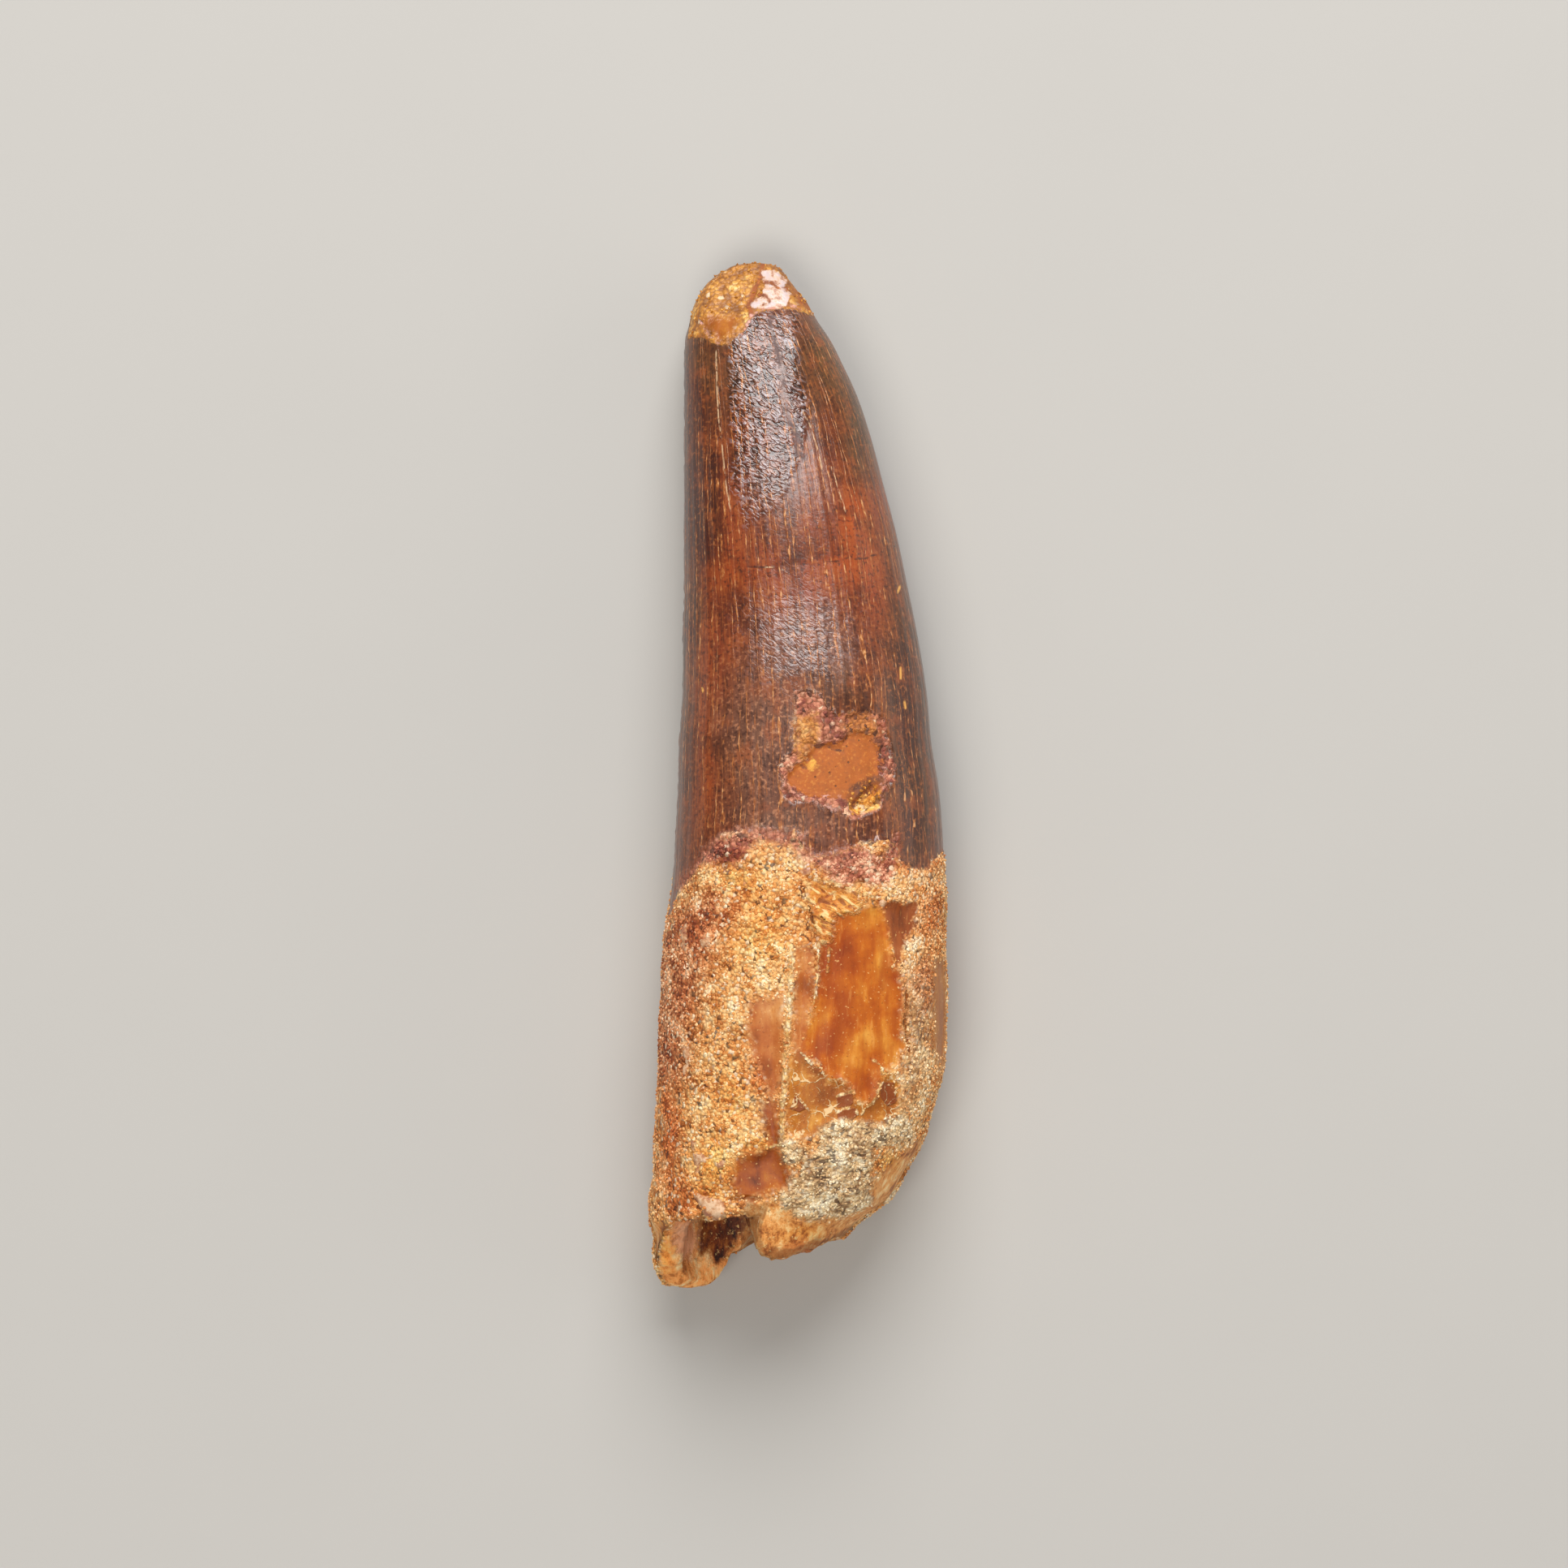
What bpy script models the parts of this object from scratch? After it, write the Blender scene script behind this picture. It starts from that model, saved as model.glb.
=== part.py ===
"""Fossil spinosaurus tooth, lying on its side: a crown broken at the tip, and a hollow root broken at its end.

The tooth lies along Y with its tip at +Y, and its photographed side faces +Z. Sizes are in millimetres
until the mesh is made, and the origin is under the middle of the tooth, on the surface that it lies on.
Its outlines are drawn as they look from VIEW_DISTANCE above, and from_view takes that perspective out.
"""

import bmesh
import bpy
import numpy as np

MM = 0.001
NODE_NAME = "tooth"
COLLECTION_NAME = "fossil_spinosaurus_tooth"

# Driving dimensions
LENGTH = 80.0
TIP_Y = LENGTH / 2
WALL = 1.9
CAVITY_END_Y = -20.5
CRUST_RISE = 0.35
CHIP_DEPTH = 0.55
PIT_DEPTH = 1.3
AMBER_DEPTH = 0.5
SMALL_WINDOW_DEPTH = 0.4
RIDGE_RISE = 0.3
ROUGHNESS = 0.16
CHIP_ROUGHNESS = 0.12
BREAK_ROUGHNESS = 0.18
CAVITY_ROUGHNESS = 0.15
CAVITY_LIFT = 0.3
RIM_HEIGHT = 0.35

# Where the outlines are seen from: distance above OUTLINE_HEIGHT, where they have their real size
VIEW_DISTANCE = 460.0
OUTLINE_HEIGHT = 8.0
VIEW_X = -1.1
VIEW_Y = -0.8

# Half outlines seen from above: distance along the tooth, left edge, right edge
PLAN = [
    (40.0, -3.4, -3.3), (39.9, -4.4, -2.3), (39.4, -5.7, -1.3), (38.9, -6.5, -0.9), (38.4, -7.1, -0.5),
    (37.4, -7.8, 0.2), (36.3, -8.3, 0.9), (35.3, -8.5, 1.7), (33.9, -8.8, 2.7), (32.0, -8.9, 3.4),
    (30.1, -8.9, 4.4), (26.3, -8.9, 5.7), (22.5, -8.9, 6.7), (18.7, -8.9, 7.7), (14.9, -8.9, 8.5),
    (11.0, -9.0, 9.3), (5.9, -9.05, 10.1), (2.5, -9.3, 10.4), (-1.2, -9.4, 11.0), (-4.8, -9.6, 11.3),
    (-8.5, -9.8, 11.4), (-12.2, -10.3, 11.4), (-17.5, -10.6, 11.5), (-23.0, -10.8, 11.3),
    (-25.7, -10.9, 10.6), (-28.5, -11.1, 9.7), (-31.4, -11.2, 8.2), (-33.4, -11.5, 6.9),
    (-35.0, -11.5, 4.8), (-36.4, -11.2, 3.5), (-38.0, -11.2, 1.9), (-40.0, -10.6, 0.4),
]

# Side view: distance along the tooth, top height, underside height before it is worn flat at 0
PROFILE = [
    (40.0, 4.25, 4.15), (39.9, 5.0, 3.4), (39.4, 5.8, 2.7), (38.4, 6.8, 1.9), (37.4, 7.6, 1.4),
    (35.3, 8.9, 0.8), (33.9, 9.6, 0.5), (32.0, 10.1, 0.15), (30.1, 10.6, -0.1), (26.3, 11.5, -0.35),
    (20.0, 12.8, -0.35), (15.0, 13.7, -0.1), (8.0, 14.9, 0.25), (0.0, 15.9, 0.35), (-8.0, 16.5, 0.1),
    (-14.0, 16.8, -0.3), (-20.0, 16.9, -0.42), (-28.0, 16.4, -0.42), (-32.0, 15.7, -0.15),
    (-35.0, 14.9, 0.4), (-38.0, 13.8, 1.3), (-40.0, 13.0, 2.2),
]

# Where the root ends around the tooth: angle in degrees from +X towards +Z, distance along the tooth
ROOT_END = [
    (-60, -36.4), (-30, -36.2), (0, -36.0), (25, -36.6), (45, -37.4), (62, -37.9), (76, -37.7), (82, -37.2),
    (88, -34.8), (100, -34.3), (115, -34.3), (130, -34.8), (143, -35.0), (152, -35.8), (165, -37.4),
    (180, -38.6), (200, -39.7), (215, -40.0), (242, -40.0), (250, -39.5), (255, -38.6), (261, -37.7),
    (270, -36.6), (283, -34.9),
]

# Pulp cavity: distance along the tooth, half width, half height
CAVITY = [
    (-40.0, 5.2, 4.9), (-36.0, 4.8, 4.4), (-32.0, 4.4, 4.0), (-28.0, 3.8, 3.4), (-24.0, 2.8, 2.4),
    (-21.5, 1.4, 1.2), (-20.5, 0.3, 0.3),
]

# Forms on the photographed side, as outlines seen from above
CHIP = [
    (-0.2, 6.4), (0.9, 6.5), (1.8, 6.1), (3.0, 4.8), (5.0, 4.7), (6.3, 4.6), (7.1, 2.7), (7.6, 0.2),
    (7.5, -0.7), (6.6, -1.5), (6.5, -2.7), (4.2, -3.6), (3.2, -2.7), (1.4, -2.1), (-0.3, -2.2),
    (-1.2, -1.7), (-1.5, 0.8), (-0.3, 1.8), (-0.1, 3.0),
]
PIT = [(4.2, -1.8), (5.0, -0.9), (6.4, -0.4), (6.4, -1.8), (6.1, -2.8), (4.8, -3.2), (3.8, -2.7)]
AMBER_WINDOW = [
    (3.0, -10.7), (4.0, -9.8), (7.0, -11.1), (7.7, -15.7), (8.0, -19.3), (7.3, -22.6), (6.0, -25.3),
    (4.9, -25.7), (3.3, -24.1), (0.2, -21.7), (1.1, -18.4), (1.7, -13.5),
]
LEFT_WINDOW = [(-3.7, -17.5), (-1.6, -17.2), (-0.9, -18.4), (-1.8, -22.2), (-2.7, -23.2), (-4.0, -19.3)]
BROWN_WINDOW = [
    (-3.5, -30.0), (-1.6, -29.5), (-0.8, -30.9), (-0.7, -31.7), (-1.6, -32.5), (-3.7, -33.2),
    (-4.7, -32.1), (-4.3, -30.8),
]
PALE_RIDGE = [(0.3, -9.0), (1.7, -13.2), (1.2, -18.4), (-1.0, -22.0), (-1.0, -26.2)]

# Edge of the enamel, from the left margin to the right one, where the sand crust begins
CRUST_EDGE = [
    (-12.0, -11.0), (-9.6, -9.9), (-7.5, -7.0), (-6.0, -4.8), (-2.7, -4.8), (-1.2, -5.6), (0.9, -6.3),
    (3.5, -6.0), (6.4, -5.2), (8.0, -6.9), (10.2, -7.4), (12.0, -5.6),
]

# Broken tip: a plane through TIP_BREAK_POINT, which cuts the upper left of the tip away
TIP_BREAK_POINT = (-5.5, 34.0, 9.35)
TIP_BREAK_NORMAL = (-0.16, 0.62, 0.77)

# Mesh density
UPPER_COLUMNS = 34
UNDER_COLUMNS = 14
TIP_ROWS = 12
BODY_ROWS = 76
CAVITY_ROWS = 9
TIP_ROWS_END_Y = 33.0
STRETCH_START_Y = -28.0
SECTION_POWER = 2.25


def clear_scene():
    """Removes every object, so that only the tooth is left."""
    for obj in list(bpy.data.objects):
        bpy.data.objects.remove(obj, do_unlink=True)


def along(table, y, column):
    """A smooth curve through one column of a table, whose first column runs one way along the tooth."""
    ordered = sorted(table)
    places = np.array([row[0] for row in ordered])
    values = np.array([row[column] for row in ordered])
    slopes = np.gradient(values, places)
    k = np.clip(np.searchsorted(places, y) - 1, 0, len(places) - 2)
    step = places[k + 1] - places[k]
    t = np.clip((y - places[k]) / step, 0.0, 1.0)
    limit = 2.5 * np.abs(values[k + 1] - values[k]) / step + 1e-9
    start = np.clip(slopes[k], -limit, limit) * step
    end = np.clip(slopes[k + 1], -limit, limit) * step
    return (
        values[k] * (2 * t**3 - 3 * t**2 + 1)
        + start * (t**3 - 2 * t**2 + t)
        + values[k + 1] * (3 * t**2 - 2 * t**3)
        + end * (t**3 - t**2)
    )


def around(table, degrees):
    """A value read round the tooth from a table of angles, joined up over a whole turn."""
    angles = np.array([row[0] for row in table], float)
    values = np.array([row[1] for row in table])
    return np.interp(degrees, angles, values, period=360)


def inside_distance(outline, x, y):
    """Distance from each point to a closed outline, positive inside it and negative outside."""
    corners = np.array(outline)
    nearest = np.full(x.shape, 1e9)
    inside = np.zeros(x.shape, bool)
    for (ax, ay), (bx, by) in zip(corners, np.roll(corners, -1, axis=0)):
        t = ((x - ax) * (bx - ax) + (y - ay) * (by - ay)) / ((bx - ax) ** 2 + (by - ay) ** 2)
        t = np.clip(t, 0.0, 1.0)
        nearest = np.minimum(nearest, np.hypot(x - ax - t * (bx - ax), y - ay - t * (by - ay)))
        crosses = (ay > y) != (by > y)
        side = ax + (y - ay) * (bx - ax) / np.where(by == ay, 1.0, by - ay)
        inside ^= crosses & (x < side)
    return np.where(inside, nearest, -nearest)


def line_distance(line, x, y):
    """Distance from each point to an open line."""
    nearest = np.full(x.shape, 1e9)
    for (ax, ay), (bx, by) in zip(line[:-1], line[1:]):
        t = ((x - ax) * (bx - ax) + (y - ay) * (by - ay)) / ((bx - ax) ** 2 + (by - ay) ** 2)
        t = np.clip(t, 0.0, 1.0)
        nearest = np.minimum(nearest, np.hypot(x - ax - t * (bx - ax), y - ay - t * (by - ay)))
    return nearest


def ramp(value, start, end):
    """0 before start, 1 after end, and a smooth rise between them."""
    t = np.clip((value - start) / (end - start), 0.0, 1.0)
    return t * t * (3 - 2 * t)


def lumps(x, y, z, size, seed):
    """Soft random lumps between -1 and 1, about size millimetres across."""
    rng = np.random.default_rng(seed)
    total = np.zeros(x.shape)
    waves = 14
    for _ in range(waves):
        direction = rng.normal(size=3)
        direction *= 2 * np.pi / size / np.linalg.norm(direction) * rng.uniform(0.7, 1.4)
        total += np.sin(x * direction[0] + y * direction[1] + z * direction[2] + rng.uniform(0, 2 * np.pi))
    return total / np.sqrt(waves)


def column_angles():
    """Angles round the tooth, closer together on the photographed side than on the underside."""
    upper = np.linspace(-15, 195, UPPER_COLUMNS, endpoint=False)
    under = np.linspace(195, 345, UNDER_COLUMNS, endpoint=False)
    return np.concatenate([upper, under])


def outer_rows():
    """Distances along the tooth of the outer rows, close together at the rounded tip."""
    tip = TIP_Y - (TIP_Y - TIP_ROWS_END_Y) * np.linspace(0, 1, TIP_ROWS, endpoint=False)[1:] ** 2
    body = np.linspace(TIP_ROWS_END_Y, -LENGTH / 2, BODY_ROWS)
    return np.concatenate([tip, body])


def section(y, degrees, half_width, half_height, centre_x, centre_z):
    """A point on an oval section, which is squarer than an ellipse."""
    angle = np.radians(degrees)
    across = np.abs(np.cos(angle) / half_width) ** SECTION_POWER
    upright = np.abs(np.sin(angle) / half_height) ** SECTION_POWER
    reach = (across + upright) ** (-1 / SECTION_POWER)
    return np.stack([centre_x + reach * np.cos(angle), y, centre_z + reach * np.sin(angle)], axis=-1)


def outer_surface(y, degrees):
    """Points on the smooth outside of the tooth."""
    left = along(PLAN, y, 1)
    right = along(PLAN, y, 2)
    top = along(PROFILE, y, 1)
    bottom = along(PROFILE, y, 2)
    return section(y, degrees, (right - left) / 2, (top - bottom) / 2, (right + left) / 2, (top + bottom) / 2)


def cavity_surface(y, degrees):
    """Points on the wall of the pulp cavity, which leans to the thin left side of the root."""
    left = along(PLAN, y, 1)
    top = along(PROFILE, y, 1)
    bottom = along(PROFILE, y, 2)
    half_width = along(CAVITY, y, 1)
    half_height = along(CAVITY, y, 2)
    widest = max(row[1] for row in CAVITY)
    centre_x = left + WALL + widest
    return section(y, degrees, half_width, half_height, centre_x, (top + bottom) / 2 + CAVITY_LIFT)


def relief(points):
    """How far the surface stands out or is sunk, at each outer point."""
    x, y, z = points[..., 0], points[..., 1], points[..., 2]
    upper = ramp(z, 7.0, 9.5)
    middle = (along(PROFILE, y, 1) + along(PROFILE, y, 2)) / 2
    face = ramp(np.abs(z - middle) / middle, 0.45, 0.9)
    edge = np.interp(x, [row[0] for row in CRUST_EDGE], [row[1] for row in CRUST_EDGE])
    edge = np.where(z > 7.5, edge, -7.5)
    root = ramp(edge - y, -0.2, 0.5)
    chip = inside_distance(CHIP, x, y)
    pit = inside_distance(PIT, x, y)
    amber = inside_distance(AMBER_WINDOW, x, y)
    left_window = inside_distance(LEFT_WINDOW, x, y)
    brown_window = inside_distance(BROWN_WINDOW, x, y)
    ridge = line_distance(PALE_RIDGE, x, y)
    windows = np.maximum(np.maximum(amber, left_window), brown_window)
    rough = root * (1 - upper * ramp(windows, -0.4, 0.1))
    out = root * CRUST_RISE * face
    out = out + rough * ROUGHNESS * (lumps(x, y, z, 3.2, 1) + 0.6 * lumps(x, y, z, 1.7, 2))
    out = out - upper * AMBER_DEPTH * ramp(amber, -0.3, 0.6)
    out = out - upper * SMALL_WINDOW_DEPTH * ramp(np.maximum(left_window, brown_window), -0.3, 0.5)
    out = out + upper * RIDGE_RISE * (1 - ramp(ridge, 0.2, 0.9))
    out = out - upper * CHIP_DEPTH * ramp(chip, -0.2, 0.5)
    out = out + upper * ramp(chip, 0.0, 0.6) * CHIP_ROUGHNESS * lumps(x, y, z, 1.6, 3)
    out = out - upper * (PIT_DEPTH - CHIP_DEPTH) * ramp(pit, -0.2, 0.7)
    return out


def outward(points):
    """Directions that point away from the middle of each section."""
    x, y, z = points[..., 0], points[..., 1], points[..., 2]
    centre_x = (along(PLAN, y, 1) + along(PLAN, y, 2)) / 2
    centre_z = (along(PROFILE, y, 1) + along(PROFILE, y, 2)) / 2
    away = np.stack([x - centre_x, np.zeros(x.shape), z - centre_z], axis=-1)
    return away / np.maximum(np.linalg.norm(away, axis=-1, keepdims=True), 1e-6)


def break_tip(points):
    """Cuts the upper left of the tip along a plane, and leaves the break lumpy."""
    x, y, z = points[..., 0], points[..., 1], points[..., 2]
    px, py, pz = TIP_BREAK_POINT
    nx, ny, nz = TIP_BREAK_NORMAL
    plane = pz - (nx * (x - px) + ny * (y - py)) / nz
    rough = BREAK_ROUGHNESS * lumps(x, y, z, 1.8, 4)
    cut = (z > plane) & (z > 4.0)
    points[..., 2] = np.where(cut, np.maximum(plane + rough, 3.0), z)
    return points


def tooth_rows():
    """Rings of points from the tip over the outside to the root's edge, then in along the cavity."""
    degrees = column_angles()
    ends = around(ROOT_END, degrees)
    rows = []
    for y in outer_rows():
        # Rows near the root are stretched or squeezed so that the last one follows the broken edge
        share = max(0.0, (STRETCH_START_Y - y) / (STRETCH_START_Y + LENGTH / 2))
        row_y = y + share * (ends + LENGTH / 2)
        points = outer_surface(row_y, degrees)
        fade = ramp(TIP_Y - row_y, 0.2, 2.0)[:, None]
        points = points + outward(points) * relief(points)[:, None] * fade
        points = break_tip(points)
        rows.append(points)
    rim = ends + RIM_HEIGHT
    middle_of_wall = (rows[-1] + cavity_surface(rim, degrees)) / 2
    rows.append(middle_of_wall - np.array([0.0, RIM_HEIGHT, 0.0]))
    for share in np.linspace(0, 1, CAVITY_ROWS, endpoint=False) ** 0.9:
        row_y = rim + (CAVITY_END_Y - rim) * share
        points = cavity_surface(row_y, degrees)
        rough = CAVITY_ROUGHNESS * (1 - share) * lumps(points[:, 0], points[:, 1], points[:, 2], 2.6, 5)
        points = points - outward(points) * rough[:, None]
        rows.append(points)
    for points in rows:
        points[:, 2] = np.maximum(points[:, 2], 0.0)
    return [from_view(points) for points in rows]


def from_view(points):
    """Real places of points that are drawn as they look from above: low ones spread, high ones draw in."""
    spread = (VIEW_DISTANCE + OUTLINE_HEIGHT - points[:, 2:]) / VIEW_DISTANCE
    middle = np.array([VIEW_X, VIEW_Y])
    flat = middle + (points[:, :2] - middle) * spread
    return np.concatenate([flat, points[:, 2:]], axis=1)


def add_tooth(collection):
    """The closed mesh of the tooth: rings joined by quads, with a point at the tip and one in the cavity."""
    rows = tooth_rows()
    shape = bmesh.new()
    tip_point = ((PLAN[0][1] + PLAN[0][2]) / 2, TIP_Y, (PROFILE[0][1] + PROFILE[0][2]) / 2)
    tip = shape.verts.new(from_view(np.array([tip_point]))[0] * MM)
    rings = [[shape.verts.new(point * MM) for point in points] for points in rows]
    end = shape.verts.new((rows[-1].mean(axis=0) + np.array([0.0, 0.4, 0.0])) * MM)
    columns = len(rings[0])
    for j in range(columns):
        k = (j + 1) % columns
        shape.faces.new((tip, rings[0][k], rings[0][j]))
        for near, far in zip(rings[:-1], rings[1:]):
            shape.faces.new((near[j], near[k], far[k], far[j]))
        shape.faces.new((rings[-1][j], rings[-1][k], end))
    bmesh.ops.recalc_face_normals(shape, faces=shape.faces)
    bmesh.ops.triangulate(shape, faces=[face for face in shape.faces if len(face.verts) > 3])
    mesh = bpy.data.meshes.new(NODE_NAME)
    shape.to_mesh(mesh)
    shape.free()
    mesh.shade_smooth()
    mesh.materials.append(fossil_material())
    obj = bpy.data.objects.new(NODE_NAME, mesh)
    collection.objects.link(obj)
    return obj


def fossil_material():
    """Chestnut fossil enamel and bone, with a dull polish."""
    material = bpy.data.materials.new("fossil_tooth")
    material.use_nodes = True
    surface = material.node_tree.nodes["Principled BSDF"]
    surface.inputs["Base Color"].default_value = (0.28, 0.11, 0.05, 1.0)
    surface.inputs["Roughness"].default_value = 0.45
    surface.inputs["Metallic"].default_value = 0.0
    return material


def main():
    clear_scene()
    collection = bpy.data.collections.new(COLLECTION_NAME)
    bpy.context.scene.collection.children.link(collection)
    add_tooth(collection)


main()
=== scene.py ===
"""Fossil spinosaurus tooth lying on its side: its fine surface, its sand grains, and a plain stage.

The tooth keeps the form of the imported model. Its tables are in millimetres, as its outlines look from
VIEW_DISTANCE above, and from_view takes that perspective out. The tip points to +Y and the photographed
side faces +Z.
"""

import bpy
import numpy as np
from bpy.props import FloatProperty, FloatVectorProperty, IntProperty, PointerProperty
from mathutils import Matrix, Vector


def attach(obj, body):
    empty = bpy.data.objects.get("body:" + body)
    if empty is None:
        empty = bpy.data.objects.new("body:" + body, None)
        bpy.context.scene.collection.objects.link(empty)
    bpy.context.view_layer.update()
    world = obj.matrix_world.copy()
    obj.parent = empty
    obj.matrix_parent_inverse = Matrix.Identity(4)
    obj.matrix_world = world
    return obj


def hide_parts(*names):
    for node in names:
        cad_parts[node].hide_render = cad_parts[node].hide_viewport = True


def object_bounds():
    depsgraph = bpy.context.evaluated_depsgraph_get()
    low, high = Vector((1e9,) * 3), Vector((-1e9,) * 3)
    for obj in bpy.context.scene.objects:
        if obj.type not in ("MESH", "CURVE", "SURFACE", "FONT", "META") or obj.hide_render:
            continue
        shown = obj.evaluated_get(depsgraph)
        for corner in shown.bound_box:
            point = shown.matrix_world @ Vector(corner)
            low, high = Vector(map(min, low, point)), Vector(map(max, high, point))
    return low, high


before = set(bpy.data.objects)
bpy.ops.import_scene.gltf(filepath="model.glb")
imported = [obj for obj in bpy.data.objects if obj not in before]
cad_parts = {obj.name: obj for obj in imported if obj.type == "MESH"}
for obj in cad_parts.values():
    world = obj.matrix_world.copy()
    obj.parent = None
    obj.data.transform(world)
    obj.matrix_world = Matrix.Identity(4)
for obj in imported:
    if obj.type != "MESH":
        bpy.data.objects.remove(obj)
CAD_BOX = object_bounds()

bl_info = {
    "name": "Fossil spinosaurus tooth",
    "version": (1, 0, 0),
    "blender": (4, 5, 0),
    "location": "3D View > Sidebar > Fossil tooth",
    "description": "Builds a fossil tooth with a chestnut crown and a sand-crusted root",
    "category": "Add Mesh",
}

MM = 0.001
NODE_NAME = "tooth"
BODY_NAME = "root"

# Where the outlines are seen from: distance above OUTLINE_HEIGHT, where they have their real size
VIEW_DISTANCE = 460.0
OUTLINE_HEIGHT = 8.0
VIEW_X = -1.1
VIEW_Y = -0.8
VIEW_WIDTH = 122.75

# Form of the tooth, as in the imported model
LENGTH = 80.0
TIP_Y = LENGTH / 2
WALL = 1.9
CAVITY_END_Y = -20.5
CAVITY_LIFT = 0.3
CAVITY_TIP = 0.3
RIM_HEIGHT = 0.35
STRETCH_START_Y = -28.0
SECTION_POWER = 2.25


def rows_of(run, width):
    """Breaks a run of numbers into rows, such as an outline into its points."""
    return [run[start:start + width] for start in range(0, len(run), width)]


# Outline seen from above: distance along the tooth, left edge, right edge
PLAN = rows_of([
    40, -3.4, -3.3, 39.9, -4.4, -2.3, 39.4, -5.7, -1.3, 38.9, -6.5, -0.9, 38.4, -7.1, -0.5, 37.4, -7.8, 0.2,
    36.3, -8.3, 0.9, 35.3, -8.5, 1.6, 33.9, -8.8, 2.55, 32, -8.9, 3.5, 30.1, -8.9, 4.4, 26.3, -8.9, 5.7, 22.5,
    -8.9, 6.7, 18.7, -8.9, 7.7, 14.9, -8.9, 8.5, 11, -9, 9.3, 5.9, -9.05, 10.1, 2.5, -9.3, 10.4, -1.2, -9.4,
    11, -4.8, -9.6, 11.3, -8.5, -9.8, 11.4, -12.2, -10.3, 11.4, -17.5, -10.6, 11.5, -23, -10.8, 11.3, -25.7,
    -10.9, 10.6, -28.5, -11.1, 9.7, -31.4, -11.2, 8.2, -33.4, -11.5, 6.9, -35, -11.5, 4.8, -36.4, -11.2, 3.5,
    -38, -11.2, 1.9, -40, -10.6, 0.4,
], 3)

# Side view: distance along the tooth, top height, underside height before it is worn flat at 0
PROFILE = rows_of([
    40, 4.25, 4.15, 39.9, 5, 3.4, 39.4, 5.8, 2.7, 38.4, 6.8, 1.9, 37.4, 7.6, 1.4, 35.3, 8.9, 0.8, 33.9, 9.6,
    0.5, 32, 10.1, 0.15, 30.1, 10.6, -0.1, 26.3, 11.5, -0.35, 20, 12.8, -0.35, 15, 13.7, -0.1, 8, 14.9, 0.25,
    0, 15.9, 0.35, -8, 16.5, 0.1, -14, 16.8, -0.3, -20, 16.9, -0.42, -28, 16.4, -0.42, -32, 15.7, -0.15, -35,
    14.9, 0.4, -38, 13.8, 1.3, -40, 13, 2.2,
], 3)

# Where the root ends around the tooth: angle in degrees from +X towards +Z, distance along the tooth
ROOT_END = rows_of([
    -60, -36.4, -30, -36.2, 0, -36, 25, -36.6, 45, -37.4, 62, -37.9, 76, -37.7, 82, -37.2, 88, -34.8, 100,
    -34.3, 115, -34.3, 130, -34.8, 143, -35, 152, -35.8, 165, -37.4, 180, -38.6, 200, -39.7, 215, -40, 240,
    -39.9, 248, -39.2, 254, -38.3, 261, -37.4, 270, -36.4, 283, -34.8,
], 2)

# Pulp cavity: distance along the tooth, half width, half height
CAVITY = rows_of([
    -40, 5.2, 4.9, -36, 4.8, 4.4, -32, 4.4, 4, -28, 3.8, 3.4, -24, 2.8, 2.4, -21.5, 1.4, 1.2, -20.5, 0.3, 0.3,
], 3)

# Broken tip: a plane through TIP_BREAK_POINT, which cuts the upper left of the tip away. Its zone ends at a
# slanting line that passes TIP_BREAK_FOOT_Y at middle height, and takes in all that lies past TIP_STUMP_Y.
TIP_BREAK_POINT = (-5.5, 34.0, 9.35)
TIP_BREAK_NORMAL = (-0.16, 0.62, 0.77)
TIP_BREAK_FOOT_Y = 36.5
TIP_BREAK_SLANT = 0.5
TIP_STUMP_Y = 38.8
# Tan window at the right margin: how far above middle height it starts, and how fast it narrows to its ends
MARGIN_MIDDLE_Y = -19.0
MARGIN_RISE = 0.4
MARGIN_CURVE = 0.07
# Where the cavity's wall starts to take painted shade, from the left to the right, and how low on the sides
# the stain spots and their painted light reach
SHADED_WALL_EDGE_X = -4.5
STAIN_LOW_Z = 3.0
# Distances that stand for far from a zone or a line that doesn't count there, and for deep inside a zone
FAR = 9.0
DEEP = 5.0
# How many flutes run round the crown, as two waves that drift in and out of step
FLUTES_AROUND = (44, 71)

# Mesh density: columns round the tooth and rows along it
SPACING_BY_ANGLE = [(-20, 2.2), (15, 1.1), (90, 0.9), (165, 1.1), (200, 2.2), (270, 2.7), (340, 2.2)]
TIP_ROWS = 34
BODY_ROWS = 318
RIM_ROWS = 5
CAVITY_ROWS = 26
TIP_ROWS_END_Y = 33.0
AROUND_RADIUS = 9.5
THREADS_AROUND = 92
ROOT_MATERIAL_START = 1.2

# Grains: width of a fine one beside a coarse one, how closely the bright ones lie, and a whole turn
FINE_GRAIN = 0.65
SUGAR_PER_MM2 = 14.0
WHOLE_TURN = 6.283

# Camera, floor and sky
SENSOR_WIDTH = 36.0
FLOOR_HALF = 1.5
WORLD_GLOW = 0.25
# Lights: name, place in metres, width and height in metres, power in watts, colour
LIGHTS = [
    ("key_softbox", (0.02, 0.50, 0.48), (0.50, 0.48), 5.3, "#ffffff"),
    ("right_fill", (0.62, 0.06, 0.24), (0.5, 0.4), 0.6, "#fff4ea"),
    ("front_fill", (-0.12, -0.24, 0.62), (0.4, 0.36), 2.05, "#fffaf2"),
]

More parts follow.
